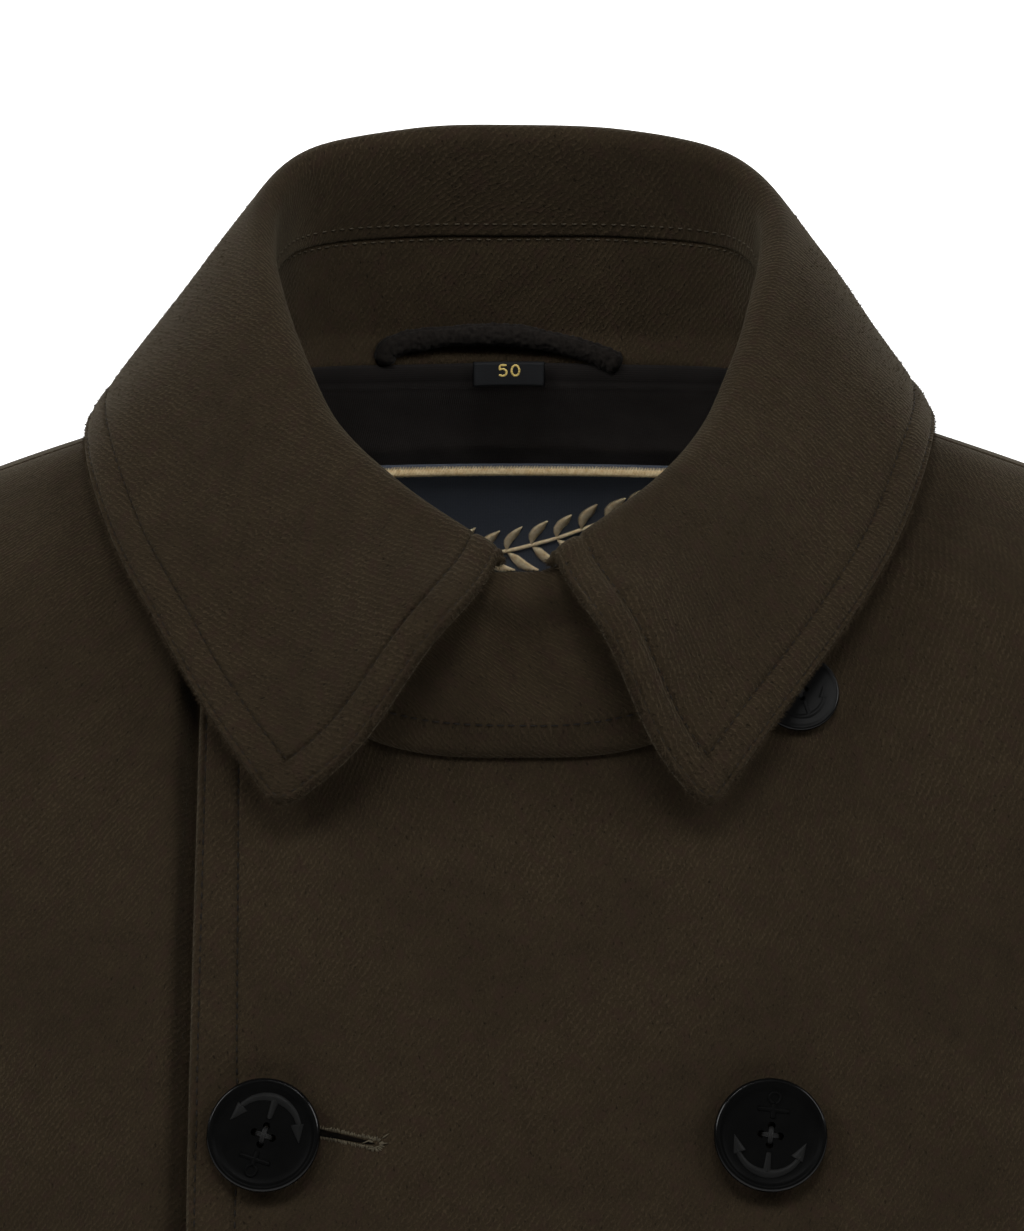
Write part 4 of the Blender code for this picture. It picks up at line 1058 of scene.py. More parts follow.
def stand_shell():
    station = np.linspace(-UNDER_END, OVER_END, 601)
    low, high, out = stand_edges(station)
    ahead = ease((np.abs(station) - 0.86) / 0.12)
    high[:, 2] += 0.0034 * ahead
    t = np.linspace(0, 1, 61)
    belly = 0.0022 * np.sin(math.pi * t)[None] * ease((np.abs(station) - 0.5) / 0.3)[:, None]
    p = low[:, None] + (high - low)[:, None] * t[None, :, None] + out[:, None] * belly[..., None]
    p = respaced(p, 0, mm(0, 0.5, 1.2, 2.2), 300, mm(0, 0.5, 1.2, 2.2))
    p = respaced(p, 1, mm(0, 0.3, 0.7, 1.2, 1.8, 2.6, 3.6, 5.0, 6.4, 7.2, 7.8, 8.4, 9.2, 10.4), 16,
                 mm(0, 0.3, 0.7, 1.1, 1.6, 2.2, 3.2))
    # in front the lower edge rolls down on to the coat and covers its neckline
    down = lengths(p, 1)
    fore = ease((0.010 - p[:, :1, 1]) / 0.03)
    hug = ease((0.0075 - down) / 0.0075) * fore
    drop = unit(p[:, 0] - p[:, 8])[:, None]
    p = p + drop * (0.0014 * hug)[..., None] - normal_at(p[:, 0])[:, None] * (0.0018 * hug)[..., None]
    # at the back it leans in over the top of the lining
    lean = ease((0.011 - down) / 0.011) * ease((p[:, :1, 1] - 0.012) / 0.03)
    p = p - unit(p[:, 0] * np.array([1.0, 1.0, 0.0]))[:, None] * (0.0044 * lean)[..., None]
    # at the sides it comes down on to the shoulders, and laps the neckline there
    y = p[:, :1, 1]
    sit = 0.0040 * np.exp(-((y - 0.005) / np.where(y > 0.005, 0.021, 0.029)) ** 2) * ease((np.abs(p[:, :1, 0]) - 0.05) / 0.012)
    sit = sit + 0.0018 * ease((np.abs(p[:, :1, 0]) - 0.030) / 0.020) * ease((0.045 - y) / 0.020)
    p = p - normal_at(p[:, 0])[:, None] * (sit * ease((0.014 - down) / 0.014))[..., None]
    n = grid_normals(p)
    rear = np.argmax(p[:, 0, 1])
    if n[rear, n.shape[1] // 2, 1] < 0:
        n = -n
    first, last, down, up = borders(p)
    ahead = ease((-p[..., 1] + 0.005) / 0.03)
    rise = np.minimum(np.minimum(round_off(down, 0.0026), round_off(up, 0.0012)),
                      np.minimum(round_off(first, 0.0014), round_off(last, 0.0014)))
    swell = 0.00025 * uneven(first, down, 0.03, 31) * ease(np.minimum(down, up) / 0.006)
    middle_x = np.exp(-((p[..., 0] - 0.003) / 0.030) ** 2) * ahead
    swell = swell + middle_x * (0.0030 * np.exp(-((up - 0.0070) / 0.0055) ** 2) - 0.0021 * np.exp(-((up - 0.0175) / 0.0060) ** 2)
                                + 0.0040 * np.exp(-((up - 0.0400) / 0.0120) ** 2) * ease(down / 0.010))
    sewn = -0.00060 * groove(down, 0.0080, 0.0006) + 0.00095 * ease(down / 0.0035) * ease((0.0080 - down) / 0.0045)
    half = STAND_CLOTH / 2
    middle = p + n * (half + swell)[..., None]
    outer = middle + n * (half * rise + sewn * ahead)[..., None]
    inner = middle - n * (half * rise)[..., None]
    uv = np.stack([first - first[-1:] / 2, down], -1)
    obj = shell("collar_stand_cloth", outer, inner, uv, STAND_WOOL)
    piece(obj, "wool", "collar_stand")
    return obj, p, n, outer, inner, first, down, up


(collar_stand, STAND_P, STAND_N, STAND_OUT, STAND_IN, STAND_RUN, STAND_DOWN, STAND_UP) = stand_shell()


# ------------------------------------------------------------- collar fall
def leaf_lines(station):
    s, side = np.abs(station), np.where(station >= 0, 1.0, -1.0)
    left = (side > 0)[:, None]

    def line(names, at):
        return np.where(left, swept(LEAF_LEFT, names, at), swept(LEAF_RIGHT, names, at))
    fold_names, edge_names = ("fold_x", "fold_y", "fold_z"), ("edge_x", "edge_y", "edge_z")
    fold, edge = line(fold_names, s), line(edge_names, s)
    run = line(fold_names, np.minimum(1.0, s + 0.01)) - line(fold_names, np.maximum(0.0, s - 0.01))
    out = unit(vec(-run[:, 1], run[:, 0], 0.0))
    back_way = out[:, 1] * (fold[:, 1] + 0.005) + out[:, 0] * fold[:, 0] < 0
    out = np.where(back_way[:, None], -out, out)
    for p in (fold, edge, out):
        p[:, 0] *= side
    fold = fold + out * (2 * STAND_LAP * np.maximum(0.0, layer(station)))[:, None]
    base, high, way = stand_edges(station)
    base = high - way * 0.0008
    base[:, 2] += GAP + 0.0008 + 0.0020 * np.maximum(0.0, layer(station))
    base[:, 2] -= 0.0017 * ease((0.64 - s) / 0.15)
    tuck = 0.8 * ease((s - 0.88) / 0.12)[:, None]
    base = base + (fold + out * 0.0012 - np.array([0.0, 0.0, 0.0050]) - base) * tuck
    return base, fold, edge, out


def fall_points(station):
    """Up the inside of the neck, round the fold, and down the leaf."""
    base, fold, edge, out = leaf_lines(station)
    up = np.array([0.0, 0.0, 1.0])
    s = np.abs(station)
    r = (FOLD_BACK_R + (FOLD_FRONT_R - FOLD_BACK_R) * ease((s - 0.8) / 0.2))[:, None]
    heart = fold - up * r
    rows = []
    for t in np.linspace(0, 1, 20, endpoint=False):
        rows.append(base * (1 - t) + (heart - out * r) * t)
    for t in np.linspace(0, 1, 16, endpoint=False):
        turn = math.pi + (FOLD_END - math.pi) * t
        rows.append(heart + out * r * math.cos(turn) + up * r * math.sin(turn))
    start = heart + out * r * math.cos(FOLD_END) + up * r * math.sin(FOLD_END)
    away = out * math.sin(FOLD_END) - up * math.cos(FOLD_END)
    span = edge - start
    size = np.linalg.norm(span, axis=-1, keepdims=True)
    belly = BELLY_BACK + (BELLY_FRONT - BELLY_BACK) * ease(s)
    belly = belly + (BELLY_SIDE - BELLY_FRONT) * np.exp(-((s - 0.34) / 0.14) ** 2)
    face = (out + up * 0.5) * belly[:, None]
    for t in np.linspace(0, 1, 61):
        bow = np.where(station > 0, BOW_LEFT, BOW_RIGHT) * math.sin(math.pi * t ** 3.4) - HOLLOW * math.exp(-((t - 0.36) / 0.20) ** 2)
        b, c = start + away * size * 0.25, edge - span * 0.42 + face
        p = (start * (1 - t) ** 3 + b * 3 * t * (1 - t) ** 2 + c * 3 * t * t * (1 - t) + edge * t ** 3)
        p[:, 0] -= np.sign(station) * bow * ease((s - 0.86) / 0.14)
        rows.append(p)
    return np.stack(rows, 1)


LEAF_MM = mm(0, 0.25, 0.6, 1.0, 1.4, 1.85, 2.3, 2.75, 3.4, 4.4, 5.8, 7.2, 8.6, 9.4, 9.9, 10.2, 10.5, 10.8, 11.1, 11.7, 12.6, 14.0)


def fall_shell():
    p = fall_points(np.linspace(-1, 1, 801))
    p = respaced(p, 1, mm(0), 128, mm(0))
    for _ in range(8):
        p[:, 1:-1] = 0.25 * p[:, :-2] + 0.5 * p[:, 1:-1] + 0.25 * p[:, 2:]
    p = respaced(p, 0, LEAF_MM, 232, LEAF_MM)
    p = respaced(p, 1, mm(0, 0.3, 0.7, 1.2, 2.0, 3.0, 4.0, 5.2), 78, LEAF_MM)
    first, last, base, edge = borders(p)
    m, n_rows = p.shape[:2]
    side = np.minimum(first, last)
    # rounded points of the leaf
    for head, dist in ((0, first), (-1, last)):
        step = 10 if head == 0 else -11
        e1 = unit(p[step, -1] - p[head, -1])
        e2 = unit(p[head, -11] - p[head, -1])
        near = np.clip(1 - np.hypot(dist, edge) / 0.038, 0, 1) ** 1.5
        p = p - unit(e1 + e2) * (TIP_DROP * near)[..., None]
        a, b = np.clip(1 - dist / TIP_R, 0, 1), np.clip(1 - edge / TIP_R, 0, 1)
        both = (a > 0) & (b > 0)
        a2, b2 = a * np.sqrt(1 - b * b / 2), b * np.sqrt(1 - a * a / 2)
        p = p + np.where(both, (a - a2) * TIP_R, 0.0)[..., None] * e1 + np.where(both, (b - b2) * TIP_R, 0.0)[..., None] * e2
    # in front the stiff leaf stands away from the coat, most at its front edges
    crest = np.take_along_axis(base, np.argmax(p[..., 2], 1)[:, None], 1)
    leaf = ease((base - crest) / 0.030) * ease((0.02 - p[:, -1:, 1]) / 0.06)
    away = LEAF_LIFT + FRONT_LIFT * ease((0.045 - side) / 0.045) + EDGE_LIFT * ease((0.030 - edge) / 0.030) * ease(side / 0.03)
    away = away - TIP_LAY * ease(1 - np.hypot(side, edge) / 0.045)
    p = p + LIFT_WAY * (leaf * away)[..., None]
    a, b = np.clip(1 - side / TIP_R, 0, 1), np.clip(1 - edge / TIP_R, 0, 1)
    a2, b2 = a * np.sqrt(1 - b * b / 2), b * np.sqrt(1 - a * a / 2)
    rim = np.where((a > 0) & (b > 0), TIP_R * (1 - np.hypot(a2, b2)), np.minimum(side, edge))
    inset = np.minimum(side, edge)
    n = grid_normals(p)
    rear = m // 2
    if n[rear, n_rows // 2, 1] < 0:
        n = -n
    swell = 0.00035 * uneven(first, edge, 0.045, 41) * ease(inset / 0.02) * ease(base / 0.02)
    relief = edge_relief(rim, LEAF_STITCH, 9.0, 0.00040, 0.0)
    relief = relief + 0.00035 * ease((inset - LEAF_STITCH) / 0.0030) * ease((LEAF_BAND - inset) / 0.0034)
    # the wearer's right half is sewn down hard, the left half more softly
    soft = ease((first / first[-1:] - 0.45) / 0.1)
    deep = np.clip(0.75 + 0.45 * uneven(first, edge, 0.030, 43), 0.25, 1.2)
    relief = relief - deep * (0.00100 * (1 - soft) * groove(inset, LEAF_BAND, 0.00045) + 0.00095 * soft * groove(inset, LEAF_BAND, 0.0011))
    seam = 0.0006 * (1 - round_off(base, 0.0010))
    outer = p + n * (swell + relief - FALL_CLOTH * (1 - round_off(rim, 0.0026)) - seam)[..., None]
    inner = p + n * (swell - 0.0006 - (FALL_CLOTH - 0.0006) * np.maximum(round_off(base, 0.0012), 1 - round_off(rim, 0.0026)))[..., None]
    # the flat collar is a curved strip, so the twill turns from one end to the other
    run = first[:, -1] - first[-1, -1] / 2
    turn = np.radians(30.0) * np.tanh(run / 0.11)
    step = np.gradient(run)
    flat = np.stack([np.cumsum(np.cos(turn) * step), np.cumsum(np.sin(turn) * step)], -1)
    side_way = np.stack([-np.sin(turn), np.cos(turn)], -1)
    uv = flat[:, None] + side_way[:, None] * edge[..., None]
    obj = shell("collar_fall_cloth", outer, inner, uv, FALL_WOOL)
    piece(obj, "wool", "collar_fall")
    return obj, p, n, outer, first, base


collar_fall, FALL_P, FALL_N, FALL_OUT, FALL_RUN, FALL_BASE = fall_shell()


# ---------------------------------------------------- inside of the back neck
def inside_back(x, z, depth):
    p = back_point(x, z)
    return p - normal_at(p) * np.asarray(depth)[..., None]


def lining_shell():
    """The lining lies just inside the upper back and rises to the stand's lower edge."""
    u = np.linspace(LINING_INSET, BACK_COLS - LINING_INSET, 241)
    v = np.linspace(BACK_ROWS - LINING_ROWS, BACK_ROWS, 181)
    p = filled(*BACK_LINES, u, v)
    n = normal_at(p)
    p = p - n * LINING_DEPTH
    # two more rows climb over the raw edge of the back to meet the stand
    goal = np.empty((len(u), 3))
    neck = np.abs(p[:, -1, 0]) < NECK_HALF * 0.985
    station = np.linspace(-0.56, 0.56, 1201)
    low, high, out = stand_edges(station)
    for i in range(len(u)):
        k = np.argmin(np.abs(low[:, 0] - p[i, -1, 0]))
        goal[i] = low[k] + (high[k] - low[k]) * 0.03 - out[k] * 0.0036 if neck[i] else p[i, -1]
    share = np.linspace(0, 1, 9)[1:]
    extra = p[:, -1:] + (goal - p[:, -1])[:, None] * share[None, :, None]
    extra = extra - unit(goal * np.array([1.0, 1.0, 0.0]))[:, None] * (0.0004 * np.sin(math.pi * share))[None, :, None] * neck[:, None, None]
    p = np.concatenate([p, extra], 1)
    n = np.concatenate([n, np.repeat(n[:, -1:], len(share), 1)], 1)
    p = respaced(p, 0, mm(0, 0.6), 120, mm(0, 0.6))
    p = respaced(p, 1, mm(0, 0.6), 80, mm(0, 0.3, 0.7, 1.2))
    n = grid_normals(p)
    if n[n.shape[0] // 2, n.shape[1] // 2, 1] < 0:
        n = -n
    first, last, down, up = borders(p)
    near = np.minimum(np.minimum(first, last), np.minimum(down, up))
    swell = 0.00045 * uneven(first, down, 0.022, 51) * ease(near / 0.008) - 0.0002
    inner = p - n * (LINING_CLOTH + np.maximum(swell, -0.0004) - LINING_CLOTH * (1 - round_off(near, 0.0006)))[..., None]
    outer = p
    uv = np.stack([first, -up], -1)
    obj = shell("back_lining_cloth", inner, outer, uv, LINING)
    piece(obj, "lining", "back_lining")
    return obj, grid_area(p)


back_lining, LINING_AREA = lining_shell()


def label_shell():
    x = np.linspace(-0.5, 0.5, 84)
    z = np.linspace(0.0, 1.0, 48)
    gx, gz = np.meshgrid(LABEL_X + LABEL_W * x, LABEL_TOP_Z - LABEL_H * z, indexing="ij")
    p = inside_back(gx, gz, np.full(gx.shape, LAID))
    n = -normal_at(p)
    first, last, down, up = borders(p)
    near = np.minimum(np.minimum(first, last), np.minimum(down, up))
    swell = 0.00018 * uneven(gx, gz, 0.02, 61) * ease(near / 0.01)
    face = p + n * (LABEL_T * round_off(near, 0.0008) + swell)[..., None]
    obj = shell("neck_label_cloth", face, p + n * swell[..., None], np.stack([gx, gz], -1), LABEL)
    piece(obj, "label", "neck_label")
    return obj


def label_face(x, down, lift=0.0):
    """Point on the label's face: across from its middle, down from its top edge."""
    x, down = np.asarray(x, float), np.asarray(down, float)
    return inside_back(LABEL_X + x, LABEL_TOP_Z - down, np.full(np.broadcast(x, down).shape, LAID + LABEL_T + lift))


def label_normal(x, down):
    return -normal_at(back_point(LABEL_X + np.asarray(x, float), LABEL_TOP_Z - np.asarray(down, float)))


neck_label = label_shell()


def border_cord():
    """Satin-stitched border: threads laid side by side over a core, all round the label."""
    half_w, half_h = LABEL_W / 2 - 0.002, LABEL_H / 2 - 0.002
    corner = 0.003
    flat = []
    for cx, cz, first in ((half_w - corner, -half_h + corner, 0), (half_w - corner, half_h - corner, 90),
                          (-half_w + corner, half_h - corner, 180), (-half_w + corner, -half_h + corner, 270)):
        for k in range(7):
            turn = math.radians(first - 90 + 15 * k)
            flat.append((cx + corner * math.cos(turn), cz + corner * math.sin(turn)))
    flat = np.array(flat + flat[:1])
    line = np.stack([flat[:, 0], flat[:, 1], np.zeros(len(flat))], -1)
    count = int(lengths(line)[-1] / 0.00046)
    line = evened(line, count)[:-1]
    way = unit(np.roll(line, -1, 0) - np.roll(line, 1, 0))
    side = np.stack([-way[:, 1], way[:, 0]], -1)
    slant = way[:, :2] * 0.0005
    mid_down = LABEL_H / 2
    rng = np.random.default_rng(4)
    wide = 0.00155 + rng.uniform(-0.00012, 0.00012, len(line))[:, None]
    a, b = line[:, :2] - side * wide - slant, line[:, :2] + side * wide + slant
    start = label_face(a[:, 0], mid_down + a[:, 1], 0.0002)
    end = label_face(b[:, 0], mid_down + b[:, 1], 0.0002)
    n = label_normal(line[:, 0], mid_down + line[:, 1])
    verts, faces = thread_mesh(start, end, n, 0.00032, 0.0016, rings=6, sides=5)
    obj = mesh_object("label_border_thread", verts, faces, GOLD_THREAD)
    return piece(obj, "gold_thread", "label_border")


border_cord()


def sprig():
    """Embroidered leaf sprig, satin stitch, in the middle of the label."""
    starts, ends = [], []

    def satin(points, widths, lean):
        pts = np.array(points, float)
        line = np.concatenate([pts, np.zeros((len(pts), 1))], 1)
        far = lengths(line)
        goal = np.arange(0.0002, far[-1], 0.00034)
        mid = np.stack([np.interp(goal, far, pts[:, k]) for k in (0, 1)], -1)
        wide = np.interp(goal / far[-1], np.linspace(0, 1, len(widths)), widths)
        way = unit(np.gradient(mid, axis=0))
        side = np.stack([-way[:, 1], way[:, 0]], -1)
        starts.append(mid - side * wide[:, None] - way * wide[:, None] * lean)
        ends.append(mid + side * wide[:, None] + way * wide[:, None] * lean)
    t = np.linspace(0, 1, 40)
    stem = np.stack([-0.036 + 0.072 * t, 0.0335 - 0.0205 * t + 0.0050 * np.sin(math.pi * t)], -1)
    satin(stem, (0.0007, 0.0008, 0.0005), 0.5)
    rng = np.random.default_rng(9)
    for k, at in enumerate(np.linspace(0.10, 0.94, 9)):
        root = np.array([np.interp(at, t, stem[:, 0]), np.interp(at, t, stem[:, 1])])
        for up in (-1, 1):
            size = (0.0125 - 0.0040 * at) * rng.uniform(0.9, 1.1)
            turn = math.radians(-14 + up * (44 + rng.uniform(-5, 5)))
            s = np.linspace(0.06, 1, 16)
            bend = 0.0011 * up * np.sin(math.pi * s)
            dx, dz = math.cos(turn), math.sin(turn)
            leaf = root + np.stack([dx * s * size - dz * bend, dz * s * size + dx * bend], -1)
            satin(leaf, (0.0003, 0.0013, 0.0019, 0.0017, 0.0010, 0.0002), 0.7)
    a, b = np.concatenate(starts), np.concatenate(ends)
    mid = (a + b) / 2
    verts, faces = thread_mesh(label_face(a[:, 0], a[:, 1], 0.00012), label_face(b[:, 0], b[:, 1], 0.00012),
                               label_normal(mid[:, 0], mid[:, 1]), 0.00024, 0.00040, rings=5, sides=5)
    obj = mesh_object("label_sprig_thread", verts, faces, SPRIG_THREAD)
    return piece(obj, "gold_thread")


label_sprig = sprig()


def tag_face(x, up, lift=0.0):
    """Point on the tag, across from its middle and up from its lower edge."""
    x, up = np.broadcast_arrays(np.asarray(x, float), np.asarray(up, float))
    z = TAG_TOP_Z - TAG_H + up
    seam_z = float(neck_point(0.0)[2])
    p = inside_back(TAG_X + x, np.minimum(z, seam_z), np.full(z.shape, LAID + lift))
    p[..., 2] += np.maximum(0.0, z - seam_z)
    return p


def tag_shell():
    gx, gz = np.meshgrid(np.linspace(-TAG_W / 2, TAG_W / 2, 45), np.linspace(0, TAG_H, 17), indexing="ij")
    p = tag_face(gx, gz)
    n = grid_normals(p)
    if n[20, 8, 1] > 0:
        n = -n
    first, last, down, up = borders(p)
    near = np.minimum(np.minimum(first, last), np.minimum(down, up))
    curl = 0.0005 * (gx / (TAG_W / 2)) ** 2 * ease((TAG_H - gz) / TAG_H)
    face = p + n * (TAG_T * round_off(near, 0.0005) + curl)[..., None]
    obj = shell("size_tag_cloth", face, p + n * curl[..., None], np.stack([gx, gz], -1), TAG)
    return piece(obj, "label", "size_tag")


size_tag = tag_shell()


def digits():
    """A plain number woven into the tag, in strokes of thread."""
    strokes = {
        "5": [((0.95, 1.0), (0.1, 1.0)), ((0.12, 1.0), (0.08, 0.56)),
              ((0.08, 0.56), (0.40, 0.66)), ((0.40, 0.66), (0.80, 0.58)), ((0.80, 0.58), (0.96, 0.34)),
              ((0.96, 0.34), (0.78, 0.06)), ((0.78, 0.06), (0.40, 0.0)), ((0.40, 0.0), (0.05, 0.10))],
        "0": [((0.5 + 0.46 * math.sin(math.radians(30 * k)), 0.5 + 0.5 * math.cos(math.radians(30 * k))),
               (0.5 + 0.46 * math.sin(math.radians(30 * k + 30)), 0.5 + 0.5 * math.cos(math.radians(30 * k + 30))))
              for k in range(12)],
    }
    high, wide = 0.0032, 0.0026
    starts, ends = [], []
    for place, sign in ((-0.0031, "5"), (0.0007, "0")):
        for (ax, ay), (bx, by) in strokes[sign]:
            starts.append((place + ax * wide, 0.0036 + ay * high))
            ends.append((place + bx * wide, 0.0036 + by * high))
    a, b = np.array(starts), np.array(ends)
    grow = unit(b - a) * 0.00025
    a, b = a - grow, b + grow
    n = np.repeat([[0.0, -1.0, 0.0]], len(a), 0)
    verts, faces = thread_mesh(tag_face(a[:, 0], a[:, 1], TAG_T + 0.0001), tag_face(b[:, 0], b[:, 1], TAG_T + 0.0001),
                               n, 0.00034, 0.0001, rings=6, sides=8, flat=0.5)
    return piece(mesh_object("size_tag_number", verts, faces, NUMBER_THREAD), "gold_thread")


digits()


def loop_tube():
    """Padded cloth loop: a soft tube with a lengthwise seam, fuzzy all over."""
    pts = []
    station = np.arange(0, 0.56, 0.001)
    plan = neck_point(station)
    for i in range(161):
        at = (len(LOOP) - 1) * i / 160
        k = min(len(LOOP) - 2, int(at))
        a, b = LOOP[max(0, k - 1)], LOOP[k]
        c, d = LOOP[k + 1], LOOP[min(len(LOOP) - 1, k + 2)]
        t = at - k
        x, up = (0.5 * (2 * b[q] + (c[q] - a[q]) * t + (2 * a[q] - 5 * b[q] + 4 * c[q] - d[q]) * t * t
                        + (3 * b[q] - a[q] - 3 * c[q] + d[q]) * t ** 3) for q in (0, 1))
        s = station[np.argmax(plan[:, 0] >= abs(x))]
        low, high, out = stand_edges(np.array([s if x >= 0 else -s]))
        share = np.clip(up / (high[0, 2] - low[0, 2]), 0.0, 1.0)
        face = low[0] + (high[0] - low[0]) * share
        pts.append((x, face[1] - LOOP_R - 0.0006, neck_point(s)[2] + up))
    path = evened(np.array(pts), 150)
    way = unit(np.gradient(path, axis=0))
    toward = np.array([0.0, -1.0, 0.0])
    across = unit(np.cross(way, toward))
    front = np.cross(across, way)
    turn = np.linspace(0, 2 * math.pi, 40, endpoint=False)
    far = lengths(path)
    grow = 0.96 + 0.05 * np.sin(far * 190)[:, None] + 0.03 * np.sin(far * 430 + 1)[:, None]
    seam = -0.00045 * np.exp(-(np.angle(np.exp(1j * (turn - math.radians(160)))) / 0.16) ** 2)[None]
    fuzz = np.random.default_rng(3).normal(0, 0.00016, (len(path), len(turn)))
    fuzz = (fuzz + np.roll(fuzz, 1, 0) + np.roll(fuzz, 1, 1)) / 1.7
    tip = np.sqrt(np.clip(1 - np.clip(1 - np.minimum(far, far[-1] - far) / 0.0022, 0, 1) ** 2, 0.02, 1))
    r = (LOOP_R * grow + seam + fuzz) * tip[:, None]
    p = path[:, None] + across[:, None] * (r * np.cos(turn))[..., None] * 1.10 + front[:, None] * (r * np.sin(turn))[..., None] * 0.95
    ids = np.arange(p.shape[0] * p.shape[1]).reshape(p.shape[:2])
    nxt = np.roll(ids, -1, 1)
    faces = np.stack([ids[:-1], nxt[:-1], nxt[1:], ids[1:]], -1).reshape(-1, 4).tolist()
    faces += [ids[0, ::-1].tolist(), ids[-1].tolist()]
    obj = mesh_object("hanger_loop_cloth", p.reshape(-1, 3), faces, CHARCOAL)
    piece(obj, "lining", "hanger_loop")
    return obj


hanger_loop = loop_tube()


# ----------------------------------------------------------------- buttons
def lathe(profile, sides):
    profile = np.array(profile)
    turn = np.linspace(0, 2 * math.pi, sides, endpoint=False)
    verts = [(0.0, 0.0, profile[0, 1])]
    for r, z in profile[1:-1]:
        verts += [(r * math.cos(a), r * math.sin(a), z) for a in turn]
    verts.append((0.0, 0.0, profile[-1, 1]))
    faces = []
    rings = len(profile) - 2
    for k in range(sides):
        j = (k + 1) % sides
        faces.append([0, 1 + k, 1 + j])
        for q in range(rings - 1):
            a, b = 1 + q * sides, 1 + (q + 1) * sides
            faces.append([a + k, b + k, b + j, a + j])
        a = 1 + (rings - 1) * sides
        faces.append([a + k, len(verts) - 1, a + j])
    return np.array(verts), faces


def button_body(name, radius, thick, hole_r, hole_off, finish, dish):
    """Turned button with a thin raised rim, a dished face and four holes."""
    d, low, rise = thick, thick * dish, thick * (1 - dish)
    profile = [(0.0, low), (radius * 0.10, low), (radius * 0.30, low + rise * 0.01), (radius * 0.55, low + rise * 0.02),
               (radius * 0.74, low + rise * 0.05), (radius * 0.83, low + rise * 0.17), (radius * 0.868, low + rise * 0.42),
               (radius * 0.888, low + rise * 0.73), (radius * 0.905, low + rise * 0.94), (radius * 0.925, d),
               (radius * 0.955, d * 0.985), (radius * 0.98, d * 0.93), (radius * 0.995, d * 0.83), (radius, d * 0.68),
               (radius * 0.99, d * 0.50), (radius * 0.955, d * 0.28), (radius * 0.88, d * 0.10), (radius * 0.76, 0.0), (0.0, 0.0)]
    verts, faces = lathe(profile, 96)
    mesh = bpy.data.meshes.new(name + "_turned")
    mesh.from_pydata(verts.tolist(), [], faces)
    bm = bmesh.new()
    bm.from_mesh(mesh)
    bmesh.ops.recalc_face_normals(bm, faces=bm.faces)
    bm.to_mesh(mesh)
    bm.free()
    disc = link(bpy.data.objects.new(name + "_turned", mesh))
    pins = []
    for k in range(4):
        way = math.radians(90 * k)
        pin_mesh = bpy.data.meshes.new(f"{name}_pin_{k}")
        bm = bmesh.new()
        bmesh.ops.create_cone(bm, cap_ends=True, segments=28, radius1=hole_r, radius2=hole_r, depth=thick * 3,
                              matrix=Matrix.Translation((hole_off * math.cos(way), hole_off * math.sin(way), 0)))
        bm.to_mesh(pin_mesh)
        bm.free()
        pin = link(bpy.data.objects.new(f"{name}_pin_{k}", pin_mesh))
        cut = disc.modifiers.new(f"hole_{k}", "BOOLEAN")
        cut.operation, cut.object = "DIFFERENCE", pin
        pins.append(pin)
    bpy.context.view_layer.update()
    solid = bpy.data.meshes.new_from_object(disc.evaluated_get(bpy.context.evaluated_depsgraph_get()))
    for obj in pins + [disc]:
        bpy.data.objects.remove(obj, do_unlink=True)
    solid.name = name
    solid.shade_smooth()
    solid.set_sharp_from_angle(angle=math.radians(32))
    solid.materials.clear()
    solid.materials.append(finish)
    solid.materials.append(RIM)
    for face in solid.polygons:
        far = math.hypot(face.center[0], face.center[1])
        face.material_index = 1 if far > radius * 0.945 and face.center[2] > thick * 0.4 else 0
    return solid


def bar(points, widths, low, high):
    """Low-relief bar with sloped sides along a line of flat points."""
    pts = np.array(points, float)
    wide = np.interp(np.linspace(0, 1, len(pts)), np.linspace(0, 1, len(widths)), widths)
    way = unit(np.gradient(pts, axis=0))
    side = np.stack([-way[:, 1], way[:, 0]], -1)
    rows = []
    for off, z in ((-1.0, low), (-0.75, low + (high - low) * 0.85), (0.0, high), (0.75, low + (high - low) * 0.85), (1.0, low)):
        flat = pts + side * (wide * off)[:, None]
        rows.append(np.concatenate([flat, np.full((len(pts), 1), z)], 1))
    p = np.stack(rows, 1)
    ids = np.arange(p.shape[0] * p.shape[1]).reshape(p.shape[:2])
    faces = np.stack([ids[:-1, :-1], ids[1:, :-1], ids[1:, 1:], ids[:-1, 1:]], -1).reshape(-1, 4)[:, ::-1].tolist()
    rim = ids[:, 0].tolist() + ids[-1, 1:].tolist() + ids[-2::-1, -1].tolist() + ids[0, -2:0:-1].tolist()
    return p.reshape(-1, 3), faces + [rim]


def anchor(scale, low, high):
    """Plain anchor in low relief, crown towards -Y: its lower part, then its upper part."""
    t = np.linspace(0, 1, 15)
    lower = [bar(np.stack([0 * t, -0.0046 - 0.0054 * t], -1) * scale, (0.0007 * scale, 0.0012 * scale), low, high)]
    a = np.radians(-158 + 136 * t)
    lower.append(bar(np.stack([0.0093 * np.cos(a), -0.0012 + 0.0092 * np.sin(a)], -1) * scale,
                     (0.0007 * scale, 0.0014 * scale, 0.0007 * scale), low, high))
    for sign in (-1, 1):
        tip = np.array([sign * 0.0098, -0.0010])
        root = np.array([sign * 0.0077, -0.0056])
        lower.append(bar((tip + (root - tip) * t[:, None]) * scale, (0.0001 * scale, 0.0021 * scale), low, high))
    ring = np.radians(np.linspace(-80, 260, 19))
    upper = [bar(np.stack([0 * t, 0.0046 + 0.0038 * t], -1) * scale, (0.0008 * scale,), low, high),
             bar(np.stack([-0.0042 + 0.0084 * t, 0.0068 + 0 * t], -1) * scale, (0.0007 * scale,), low, high),
             bar(np.stack([0.0015 * np.cos(ring), 0.0100 + 0.0015 * np.sin(ring)], -1) * scale, (0.0005 * scale,), low, high)]
    return joined(lower), joined(upper)


